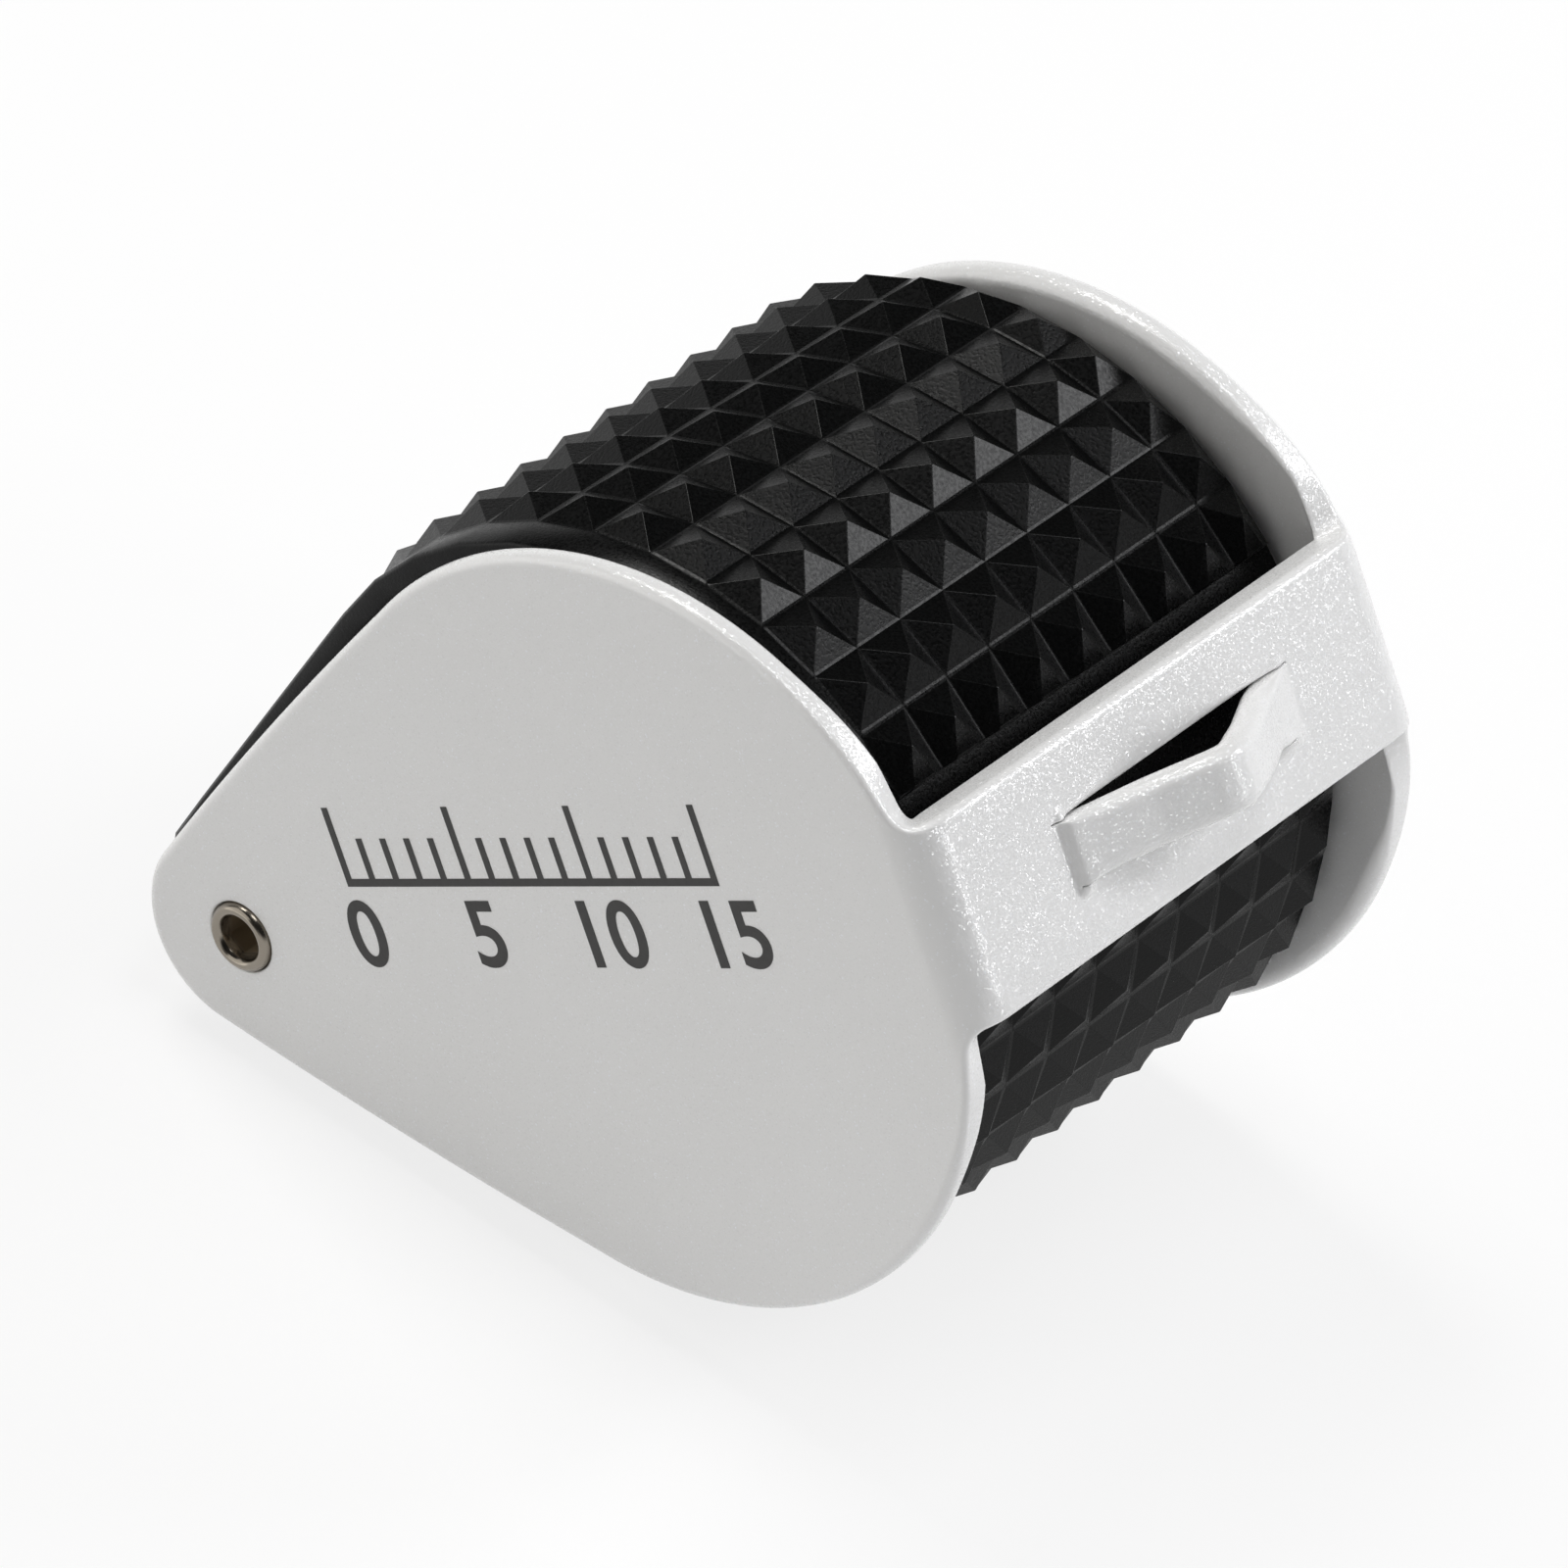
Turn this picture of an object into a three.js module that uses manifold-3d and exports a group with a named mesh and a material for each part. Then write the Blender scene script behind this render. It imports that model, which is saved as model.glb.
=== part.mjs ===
// A folding jeweler loupe: a triplet magnifier in a rubber-sleeved body, hung on one screw
// between the two teardrop plates of a bent sheet-metal cover.
// Millimetres. The loupe stands on the lower flank of its rubber grip, +Z up, with +Y along
// the hinge axis from the screw head to the far plate. Inside the assembly group the teardrop
// lies along +X, from the tip towards the strap, and its width lies along Z.
import * as THREE from 'three';
import { mergeVertices } from 'three/addons/utils/BufferGeometryUtils.js';
import Module from 'manifold-3d';

const wasm = await Module();
wasm.setup();

// Cover: two teardrop plates and the strap that joins them, one sheet
const sheet = 0.93;
const coverDepth = 21;
const plateMargin = 0.05;
const plateShift = 2.08;
const plateTipRadius = 3.25;
const plateFlankBow = 0.15;
const noseGap = 1.04;
const strapWidth = 6.3;
const bendRadius = 1.45;

// Lanyard bridge: a strip of the strap pressed outwards between two slits
const bridgeWidth = 2;
const bridgeSlit = 0.1;
const bridgeLength = 10.8;
const bridgeRise = 2.9;
const bridgeShoulderRise = 0.93;
const bridgeFootShare = 0.12;
const bridgePeakShare = 0.53;
const bridgeHeelShare = 0.84;

// Hinge: hex-socket screw, nut in the far plate, a short bush at each end, and washers
const pivotInset = 0.5;
const screwShankRadius = 0.9;
const screwHeadLip = 0.3;
const screwHeadEdge = 0.23;
const screwHeadProud = 0.2;
const screwRimRound = 0.12;
const socketWall = 0.18;
const socketDepth = 1.5;
const nutWall = 0.55;
const nutRecess = 0.05;
const bushWall = 0.5;
const bushLength = 3;
const washerMargin = 0.65;
const washerThickness = 0.45;
const springSheet = 0.18;

// Lens body: rubber grip over a teardrop housing
const lensAxisGap = 15;
const housingWall = 0.9;
const housingTipWall = 0.95;
const gripWall = 1.15;
const gripSideGap = 0.33;
const gripFrontBand = 1.36;
const bumpHeight = 0.5;
const bumpDepthPitch = 1.94;
const bumpRows = 40;

// Optics: one biconvex crown between two menisci, held in a cell
const lensRadius = 9;
const lensSeat = 0.7;
const crownEdge = 2.24;
const crownFaceRadius = 15.5;
const meniscusThickness = 1.2;
const meniscusFaceRadius = 24;
const cellWall = 0.7;
const cellRimThickness = 1.2;
const ringFlare = 0.8;
const lockRingRecess = 0.3;
const spannerSlotWidth = 1;
const spannerSlotDepth = 0.7;

// Clearances, and how far cutting shapes run past what they cut
const gripFitGap = 0.1;
const runningGap = 0.05;
const threadGap = 0.05;
const seatGap = 0.03;
const cementGap = 0.02;
const cutOverrun = 1;

// Fineness of round shapes, as counts of facets
const outlineSteps = 64;
const roundSides = 48;
const smallSides = 24;
const bendSteps = 6;
const faceSteps = 5;
const flankSteps = 6;
const tipSteps = 12;

// Depths worked out from the sizes above
const middleY = coverDepth / 2;
const plateInnerY = sheet;
const farInnerY = coverDepth - sheet;
const housingFrontY = plateInnerY + washerThickness + runningGap;
const housingBackY = coverDepth - housingFrontY;
const gripFrontY = plateInnerY + gripSideGap;
const gripBackY = farInnerY - gripSideGap;
const bumpFrontY = gripFrontY + gripFrontBand;
const bumpColumns = Math.ceil((gripBackY - bumpFrontY) / bumpDepthPitch);

// Hinge radii, from the screw's shank outwards
const screwHeadRadius = screwShankRadius + screwHeadLip;
const socketCornerRadius = screwShankRadius - socketWall;
const nutRadius = screwShankRadius + threadGap + nutWall;
const bushInnerRadius = screwShankRadius + runningGap;
const bushOuterRadius = bushInnerRadius + bushWall;
const washerRadius = bushOuterRadius + washerMargin;

// Lens body and cover radii, from the lens outwards
const apertureRadius = lensRadius - lensSeat;
const ringMouthRadius = apertureRadius + ringFlare;
const cellInnerRadius = lensRadius + threadGap;
const cellOuterRadius = cellInnerRadius + cellWall;
const housingBoreRadius = cellOuterRadius + threadGap;
const housingRadius = housingBoreRadius + housingWall;
const housingTipRadius = bushOuterRadius + housingTipWall;
const sleeveRadius = housingRadius + gripFitGap;
const sleeveTipRadius = housingTipRadius + gripFitGap;
const gripRadius = sleeveRadius + gripWall;
const gripTipRadius = sleeveTipRadius + gripWall;
const gripTurn = Math.PI / 2 + Math.asin((gripRadius - gripTipRadius) / lensAxisGap);
const plateRadius = gripRadius + plateMargin;
const plateRoundGap = lensAxisGap + plateShift;
const strapInnerX = lensAxisGap + gripRadius + bumpHeight + noseGap;
const strapReach = strapInnerX + sheet;

// Optical places, measured from the middle of the crown
const crownHalf = crownEdge / 2 + sag(crownFaceRadius, lensRadius);
const opticHalf = crownHalf + cementGap + meniscusThickness;
const rimFaceOffset = opticHalf - sag(meniscusFaceRadius, apertureRadius) + seatGap;
const cellHalf = rimFaceOffset + cellRimThickness;

// How far a round face of one radius falls back at a distance from its axis
function sag(faceRadius, distance) {
  return faceRadius - Math.sqrt(faceRadius ** 2 - distance ** 2);
}

// Points of an arc, its last point left to the piece that follows
function arc(centreX, radius, from, to, steps) {
  return Array.from({ length: steps }, (_, i) => {
    const angle = from + (to - from) * i / steps;
    return new THREE.Vector2(centreX + radius * Math.cos(angle), radius * Math.sin(angle));
  });
}

// The straight or slightly bowed flank between two points of a teardrop
function flankPoints(start, end, bow, outward) {
  return Array.from({ length: flankSteps }, (_, i) => {
    const share = i / flankSteps;
    const push = 4 * bow * share * (1 - share);
    return start.clone().lerp(end, share).addScaledVector(outward, push);
  });
}

// A teardrop outline: the small round end about the origin, the large one along +X
function teardrop(largeRadius, smallRadius, roundGap, bow) {
  const turn = Math.PI / 2 + Math.asin((largeRadius - smallRadius) / roundGap);
  const upward = new THREE.Vector2(Math.cos(turn), Math.sin(turn));
  const downward = new THREE.Vector2(Math.cos(turn), -Math.sin(turn));
  const largeCentre = new THREE.Vector2(roundGap, 0);
  const largeTop = largeCentre.clone().addScaledVector(upward, largeRadius);
  const largeBottom = largeCentre.clone().addScaledVector(downward, largeRadius);
  const smallTop = upward.clone().multiplyScalar(smallRadius);
  const smallBottom = downward.clone().multiplyScalar(smallRadius);
  return [
    ...arc(roundGap, largeRadius, -turn, turn, outlineSteps),
    ...flankPoints(largeTop, smallTop, bow, upward),
    ...arc(0, smallRadius, turn, 2 * Math.PI - turn, tipSteps),
    ...flankPoints(smallBottom, largeBottom, bow, downward),
  ];
}

// An outline in the X-Z plane made solid between two depths
function slab(points, frontY, backY) {
  const shape = new THREE.Shape(points);
  const geometry = new THREE.ExtrudeGeometry(shape, { depth: backY - frontY, bevelEnabled: false });
  geometry.rotateX(Math.PI / 2);
  geometry.translate(0, backY, 0);
  return geometry;
}

// An outline in the X-Y plane made solid over a width that is centred on Z
function channel(points, width) {
  const shape = new THREE.Shape(points);
  const geometry = new THREE.ExtrudeGeometry(shape, { depth: width, bevelEnabled: false });
  geometry.translate(0, 0, -width / 2);
  return geometry;
}

// A closed profile of [radius, depth] pairs turned about an axis along Y
function turned(profile, axisX, sides) {
  const points = profile.map(([radius, y]) => new THREE.Vector2(radius, y));
  const closed = points[0].x > 0;
  if (closed) points.push(points[0].clone());
  const geometry = new THREE.LatheGeometry(points, sides);
  geometry.translate(axisX, 0, 0);
  return geometry;
}

// A round bar along Y between two depths
function bar(radius, frontY, backY, axisX, sides) {
  const geometry = new THREE.CylinderGeometry(radius, radius, backY - frontY, sides);
  geometry.translate(axisX, (frontY + backY) / 2, 0);
  return geometry;
}

// A ring between two radii and two depths
function ring(innerRadius, outerRadius, frontY, backY, axisX, sides) {
  const profile = [
    [innerRadius, frontY],
    [outerRadius, frontY],
    [outerRadius, backY],
    [innerRadius, backY],
  ];
  return turned(profile, axisX, sides);
}

// A closed geometry as a solid that can be cut and joined
function solid(geometry) {
  const bare = geometry.clone();
  bare.deleteAttribute('normal');
  bare.deleteAttribute('uv');
  const merged = mergeVertices(bare);
  const vertProperties = merged.attributes.position.array;
  const triVerts = Uint32Array.from(merged.index.array);
  return new wasm.Manifold(new wasm.Mesh({ numProp: 3, vertProperties, triVerts }));
}

// A cut or joined solid as a geometry again
function surface(shape) {
  const mesh = shape.getMesh();
  const geometry = new THREE.BufferGeometry();
  geometry.setAttribute('position', new THREE.BufferAttribute(mesh.vertProperties, 3));
  geometry.setIndex(new THREE.BufferAttribute(mesh.triVerts, 1));
  geometry.computeVertexNormals();
  return geometry;
}

// The channel that the sheet is bent to: front plate, strap and far plate
function sheetChannel() {
  const bend = (centreY, radius, from, to) => Array.from({ length: bendSteps + 1 }, (_, i) => {
    const angle = from + (to - from) * i / bendSteps;
    const centreX = strapReach - bendRadius;
    return new THREE.Vector2(centreX + radius * Math.cos(angle), centreY + radius * Math.sin(angle));
  });
  const openX = -plateTipRadius - cutOverrun;
  const inside = bendRadius - sheet;
  const quarter = Math.PI / 2;
  return channel([
    new THREE.Vector2(openX, 0),
    ...bend(bendRadius, bendRadius, -quarter, 0),
    ...bend(coverDepth - bendRadius, bendRadius, 0, quarter),
    new THREE.Vector2(openX, coverDepth),
    new THREE.Vector2(openX, farInnerY),
    ...bend(coverDepth - bendRadius, inside, quarter, 0),
    ...bend(bendRadius, inside, 0, -quarter),
    new THREE.Vector2(openX, plateInnerY),
  ], 2 * (plateRadius + cutOverrun));
}

// The pressed-out strip, its outer face rising from the strap and falling back to it, with
// both ends run on into the strap
function lanyardBridge() {
  const startY = middleY - bridgeLength / 2;
  const rises = [
    [-cutOverrun, 0],
    [0, 0],
    [bridgeFootShare * bridgeLength, bridgeShoulderRise],
    [bridgePeakShare * bridgeLength, bridgeRise],
    [bridgeHeelShare * bridgeLength, bridgeShoulderRise],
    [bridgeLength, 0],
    [bridgeLength + cutOverrun, 0],
  ];
  const outer = rises.map(([along, rise]) => (
    new THREE.Vector2(strapReach + rise, startY + along)));
  const inner = outer.map((point) => new THREE.Vector2(point.x - sheet, point.y)).reverse();
  return channel([...outer, ...inner], bridgeWidth);
}

// The cover: plates and strap cut from one block by the bent channel, then pierced
function coverGeometry() {
  const plateOutline = teardrop(plateRadius, plateTipRadius, plateRoundGap, plateFlankBow);
  const plates = slab(plateOutline, 0, coverDepth);
  const halfStrap = strapWidth / 2;
  const strap = slab([
    new THREE.Vector2(plateRoundGap, -halfStrap),
    new THREE.Vector2(strapReach + cutOverrun, -halfStrap),
    new THREE.Vector2(strapReach + cutOverrun, halfStrap),
    new THREE.Vector2(plateRoundGap, halfStrap),
  ], 0, coverDepth);
  const windowWidth = bridgeWidth + 2 * bridgeSlit;
  const window = new THREE.BoxGeometry(sheet + 2 * cutOverrun, bridgeLength, windowWidth);
  window.translate(strapReach - sheet / 2, middleY, 0);
  const screwHole = turned([
    [0, -cutOverrun],
    [screwHeadRadius + runningGap, -cutOverrun],
    [screwHeadRadius + runningGap, screwHeadEdge],
    [screwShankRadius + runningGap, sheet],
    [screwShankRadius + runningGap, sheet + cutOverrun],
    [0, sheet + cutOverrun],
  ], pivotInset, smallSides);
  const nutHole = bar(nutRadius + threadGap, farInnerY - cutOverrun, coverDepth + cutOverrun,
    pivotInset, smallSides);
  const cover = solid(plates).add(solid(strap))
    .intersect(solid(sheetChannel()))
    .subtract(solid(window))
    .add(solid(lanyardBridge()))
    .subtract(solid(screwHole))
    .subtract(solid(nutHole));
  return surface(cover);
}

// The screw, its countersunk head a little proud of the front plate
function screwGeometry() {
  const screw = turned([
    [0, -screwHeadProud],
    [screwHeadRadius - screwRimRound, -screwHeadProud],
    [screwHeadRadius, -screwHeadProud + screwRimRound],
    [screwHeadRadius, screwHeadEdge],
    [screwShankRadius, sheet],
    [screwShankRadius, coverDepth - nutRecess],
    [0, coverDepth - nutRecess],
  ], pivotInset, smallSides);
  const socket = bar(socketCornerRadius, -screwHeadProud - cutOverrun, socketDepth, pivotInset, 6);
  return surface(solid(screw).subtract(solid(socket)));
}

// The conical spring washer that gives the hinge its friction
function discSpringGeometry() {
  const frontY = housingBackY + runningGap;
  return turned([
    [bushInnerRadius, frontY],
    [washerRadius, farInnerY - springSheet],
    [washerRadius, farInnerY],
    [bushInnerRadius, frontY + springSheet],
  ], pivotInset, smallSides);
}

// The housing: a teardrop block bored for the lens cell, and for a bush at each end of the hinge
function housingGeometry() {
  const outline = teardrop(housingRadius, housingTipRadius, lensAxisGap, 0);
  const block = slab(outline, housingFrontY, housingBackY);
  const bore = bar(housingBoreRadius, -cutOverrun, coverDepth + cutOverrun, lensAxisGap, roundSides);
  const seatRadius = bushOuterRadius + seatGap;
  const seatDepth = bushLength + seatGap;
  const hingeBore = turned([
    [0, housingFrontY - cutOverrun],
    [seatRadius, housingFrontY - cutOverrun],
    [seatRadius, housingFrontY + seatDepth],
    [bushInnerRadius, housingFrontY + seatDepth],
    [bushInnerRadius, housingBackY - seatDepth],
    [seatRadius, housingBackY - seatDepth],
    [seatRadius, housingBackY + cutOverrun],
    [0, housingBackY + cutOverrun],
  ], pivotInset, smallSides);
  return surface(solid(block).subtract(solid(bore)).subtract(solid(hingeBore)));
}

// A bush at the end of the hinge bore that starts at the given depth
function bushGeometry(frontY) {
  return ring(bushInnerRadius, bushOuterRadius, frontY, frontY + bushLength, pivotInset, smallSides);
}

// A place on the grip's base outline, by the length run from the nose over the upper flank
function gripPlace(run, lift) {
  const roundRun = gripRadius * gripTurn;
  const flankRun = lensAxisGap * Math.sin(gripTurn);
  const half = roundRun + flankRun + gripTipRadius * (Math.PI - gripTurn);
  const side = run > half ? -1 : 1;
  const length = side > 0 ? run : 2 * half - run;
  const onRound = length <= roundRun;
  const onFlank = length <= roundRun + flankRun;
  const along = onRound ? 0 : Math.min(length - roundRun, flankRun);
  const tipAngle = gripTurn + (length - roundRun - flankRun) / gripTipRadius;
  const angle = onRound ? length / gripRadius : onFlank ? gripTurn : tipAngle;
  const slide = 1 - along / flankRun;
  const radius = gripTipRadius + (gripRadius - gripTipRadius) * slide + lift;
  return [lensAxisGap * slide + radius * Math.cos(angle), side * radius * Math.sin(angle)];
}

// The grip: rows of four-sided bumps run all round the teardrop, behind a smooth front band
function gripGeometry() {
  const roundRun = gripRadius * gripTurn;
  const flankRun = lensAxisGap * Math.sin(gripTurn);
  const fullRun = 2 * (roundRun + flankRun + gripTipRadius * (Math.PI - gripTurn));
  const pitch = fullRun / bumpRows;
  const depths = [gripFrontY];
  for (let column = 0; column < bumpColumns; column++) {
    depths.push(bumpFrontY + column * bumpDepthPitch);
  }
  depths.push(gripBackY);
  const lines = depths.length;
  const positions = [];
  const indices = [];
  for (let row = 0; row < bumpRows; row++) {
    const [x, z] = gripPlace((row + 0.5) * pitch, 0);
    for (const y of depths) positions.push(x, y, z);
  }
  const tops = positions.length / 3;
  for (let row = 0; row < bumpRows; row++) {
    const [x, z] = gripPlace((row + 1) % bumpRows * pitch, bumpHeight);
    for (let column = 0; column < bumpColumns; column++) {
      positions.push(x, (depths[column + 1] + depths[column + 2]) / 2, z);
    }
  }
  const frontCentre = positions.length / 3;
  positions.push(lensAxisGap, gripFrontY, 0);
  positions.push(lensAxisGap, gripBackY, 0);
  for (let row = 0; row < bumpRows; row++) {
    const here = row * lines;
    const next = (row + 1) % bumpRows * lines;
    indices.push(frontCentre, here, next);
    indices.push(frontCentre + 1, next + lines - 1, here + lines - 1);
    indices.push(here, next + 1, next, here, here + 1, next + 1);
    for (let column = 0; column < bumpColumns; column++) {
      const top = tops + row * bumpColumns + column;
      const a = here + column + 1;
      const b = next + column + 1;
      indices.push(b, a, top, b + 1, b, top, a + 1, b + 1, top, a, a + 1, top);
    }
  }
  const skin = new THREE.BufferGeometry();
  skin.setAttribute('position', new THREE.Float32BufferAttribute(positions, 3));
  skin.setIndex(indices);
  const hollow = slab(teardrop(sleeveRadius, sleeveTipRadius, lensAxisGap, 0),
    gripFrontY - cutOverrun, gripBackY + cutOverrun);
  return surface(solid(skin).subtract(solid(hollow)));
}

// Points [radius, depth] of a round lens face from its axis to its edge
function facePoints(apexY, faceRadius, way) {
  return Array.from({ length: faceSteps + 1 }, (_, i) => {
    const radius = lensRadius * i / faceSteps;
    return [radius, apexY + way * sag(faceRadius, radius)];
  });
}

function crownGeometry() {
  const front = facePoints(middleY - crownHalf, crownFaceRadius, 1);
  const back = facePoints(middleY + crownHalf, crownFaceRadius, -1).reverse();
  return turned([...front, ...back], lensAxisGap, roundSides);
}

// A meniscus on the front (way -1) or back (way 1) of the crown
function meniscusGeometry(way) {
  const innerY = middleY + way * (crownHalf + cementGap);
  const outerY = middleY + way * opticHalf;
  const inner = facePoints(innerY, crownFaceRadius, -way);
  const outer = facePoints(outerY, meniscusFaceRadius, -way);
  const profile = way > 0 ? [...inner, ...outer.reverse()] : [...outer, ...inner.reverse()];
  return turned(profile, lensAxisGap, roundSides);
}

// The cell: a tube with a rim in front that the lenses are pushed against
function cellGeometry() {
  const rimY = middleY - rimFaceOffset;
  return turned([
    [apertureRadius, middleY - cellHalf],
    [cellOuterRadius, middleY - cellHalf],
    [cellOuterRadius, middleY + cellHalf],
    [cellInnerRadius, middleY + cellHalf],
    [cellInnerRadius, rimY],
    [apertureRadius, rimY],
  ], lensAxisGap, roundSides);
}

// Two slots across the face of a ring for a pin spanner
function slotted(geometry, faceY) {
  const across = 2 * (cellOuterRadius + cutOverrun);
  const slots = new THREE.BoxGeometry(across, 2 * spannerSlotDepth, spannerSlotWidth);
  slots.translate(lensAxisGap, faceY, 0);
  return surface(solid(geometry).subtract(solid(slots)));
}

function retainingRingGeometry() {
  const backY = middleY + cellHalf;
  const frontY = backY - cellRimThickness;
  const outerRadius = cellInnerRadius - threadGap;
  return slotted(ring(apertureRadius, outerRadius, frontY, backY, lensAxisGap, roundSides), backY);
}

// A lock ring with a flared mouth on the front (way -1) or back (way 1) of the cell
function lockRingGeometry(way) {
  const innerY = middleY + way * (cellHalf + seatGap);
  const housingFaceY = way > 0 ? housingBackY : housingFrontY;
  const outerY = housingFaceY - way * lockRingRecess;
  const profile = [
    [apertureRadius, innerY],
    [cellOuterRadius, innerY],
    [cellOuterRadius, outerY],
    [ringMouthRadius, outerY],
  ];
  const geometry = turned(way > 0 ? profile : profile.reverse(), lensAxisGap, roundSides);
  return slotted(geometry, outerY);
}

function material(color, roughness, metalness) {
  return new THREE.MeshStandardMaterial({ color, roughness, metalness });
}

const pearlPaint = material('#dcdad8', 0.4, 0.1);
const nickel = material('#b3ada3', 0.3, 1);
const springSteel = material('#8d8f92', 0.35, 1);
const whitePlastic = material('#e8e6df', 0.5, 0);
const bronze = material('#a9803f', 0.4, 1);
const blackRubber = material('#141414', 0.65, 0);
const blackPlastic = material('#191919', 0.5, 0);
const blackBrass = material('#1b1a19', 0.45, 0.6);
const crownGlass = material('#dfe9ea', 0.03, 0);
const flintGlass = material('#d9e6e4', 0.03, 0);

const assembly = new THREE.Group();

function place(name, geometry, finish) {
  const mesh = new THREE.Mesh(geometry, finish);
  mesh.name = name;
  assembly.add(mesh);
}

place('cover', coverGeometry(), pearlPaint);
place('pivot_screw', screwGeometry(), nickel);
place('pivot_nut', ring(screwShankRadius + threadGap, nutRadius, farInnerY, coverDepth - nutRecess,
  pivotInset, smallSides), nickel);
place('thrust_washer', ring(bushInnerRadius, washerRadius, plateInnerY, plateInnerY + washerThickness,
  pivotInset, smallSides), whitePlastic);
place('disc_spring', discSpringGeometry(), springSteel);
place('front_bush', bushGeometry(housingFrontY), bronze);
place('rear_bush', bushGeometry(housingBackY - bushLength), bronze);
place('lens_housing', housingGeometry(), blackPlastic);
place('rubber_grip', gripGeometry(), blackRubber);
place('lens_cell', cellGeometry(), blackBrass);
place('crown_lens', crownGeometry(), crownGlass);
place('front_flint_lens', meniscusGeometry(-1), flintGlass);
place('rear_flint_lens', meniscusGeometry(1), flintGlass);
place('retaining_ring', retainingRingGeometry(), blackBrass);
place('front_lock_ring', lockRingGeometry(-1), blackBrass);
place('rear_lock_ring', lockRingGeometry(1), blackBrass);

// The loupe is tilted until the lower flank of the grip lies flat, and set down with the
// middle of its bottom at the origin
const loupe = new THREE.Group();
loupe.add(assembly);
assembly.rotation.y = Math.PI / 2 - gripTurn;
loupe.updateMatrixWorld(true);
const bounds = new THREE.Box3().setFromObject(loupe, true);
const centre = bounds.getCenter(new THREE.Vector3());
assembly.position.set(-centre.x, -centre.y, -bounds.min.z);
loupe.updateMatrixWorld(true);

export default loupe;
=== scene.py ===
import math

import bpy
import numpy as np
from mathutils import Matrix, Vector
from mathutils.geometry import delaunay_2d_cdt


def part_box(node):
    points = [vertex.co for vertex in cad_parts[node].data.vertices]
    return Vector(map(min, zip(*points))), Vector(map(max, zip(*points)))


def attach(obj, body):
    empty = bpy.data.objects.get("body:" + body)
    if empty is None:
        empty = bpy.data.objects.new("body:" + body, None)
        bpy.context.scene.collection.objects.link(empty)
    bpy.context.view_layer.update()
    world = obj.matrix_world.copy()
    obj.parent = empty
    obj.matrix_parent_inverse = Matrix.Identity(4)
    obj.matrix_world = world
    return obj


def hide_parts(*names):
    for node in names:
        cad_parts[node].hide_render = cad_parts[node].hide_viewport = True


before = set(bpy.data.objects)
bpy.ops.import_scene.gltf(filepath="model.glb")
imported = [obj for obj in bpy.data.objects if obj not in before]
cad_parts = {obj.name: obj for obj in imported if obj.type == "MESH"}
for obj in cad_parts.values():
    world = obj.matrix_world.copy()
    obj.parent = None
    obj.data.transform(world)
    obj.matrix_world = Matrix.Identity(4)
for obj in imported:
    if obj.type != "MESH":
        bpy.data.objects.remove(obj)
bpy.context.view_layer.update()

MM = 0.001
QUARTER = math.pi / 2

# Cover sheet, flat and folded
SHEET = 0.93
COVER_DEPTH = 21.0
PLATE_RADIUS = 12.0
TIP_RADIUS = 3.25
ROUND_GAP = 17.08
FLANK_BOW = 0.15
STRAP_HALF = 3.15
STRAP_REACH = 29.42
BEND_RADIUS = 1.45
CORNER_FILLET = 0.9
PLATE_EDGES = (0.33, 0.45)
STRAP_EDGES = (0.2, 0.12)
EDGE_CHANGE = 2
EDGE_LAND = 0.05
HOLE_EDGE = 0.08
NUT_HOLE_EDGES = (0.1, 0.05)
ROLL_DEPTH = 0.1
LIP_DEPTH = 0.33
ROLL_WIDTH = 0.9

# Lanyard bridge, with its slits
BRIDGE_HALF = 1.0
SLIT_HALF = 0.012
BRIDGE_LENGTH = 10.8
BRIDGE_MARGIN = 1.0
BRIDGE_PLACES = (0.22, 0.34, 1.1, 2.9, 4.7, 5.1, 5.55, 6.0, 7.3, 9.1, 10.8)
BRIDGE_RISES = (0.0, 0.3, 0.6, 1.38, 2.4, 2.56, 2.6, 2.46, 1.85, 0.78, 0.0)
BRIDGE_SAMPLES = 1200
BRIDGE_SOFTENING = 0.14
BRIDGE_LEAN_SOFTENING = 1.2
BRIDGE_EDGE = 0.45
STRAP_SLIT_EDGE = 0.2
SLIT_END_EDGE = 0.06
SLIT_INNER_EDGE = 0.3
BRIDGE_SKIRT = 0.5
UPPER_SLIT = (0.0, 10.9)
LOWER_SLIT = (0.3, 10.0)
SLIT_FADE = 0.8

# How finely the cover's edges are drawn, in steps
FLANK_STEPS = 24
PLATE_STEPS = 64
FILLET_STEPS = 12
STRAP_STEPS = 20
SLIT_STEPS = 90
SLIT_END_STEPS = 10
HOLE_STEPS = 72
EDGE_STEPS = 6
HOLE_EDGE_STEPS = 3

# Where the cover's faces have points besides their edges: rulings with spots on them across
# the bends and the bridge, and a net on the plates
BEND_RULINGS = 15
BEND_SPOTS = 13
BEND_SPACING = 0.42
BRIDGE_RULINGS = 120
SPOTS_ON_BRIDGE = (0.3, 0.6, 0.85)
SPOTS_BESIDE_BRIDGE = (0, 0.09, 0.18, 0.27, 0.36, 0.45, 0.54, 0.63, 0.8, 1.1, 1.4)
RULING_GAP = 0.16
NET_RUNS = (-32, 56)
NET_WIDTHS = (-11, 12)
NET_PITCH = 1.7
NET_START = 0.4
NET_GAP = 0.9
MERGE_GAP = 1e-7

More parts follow.
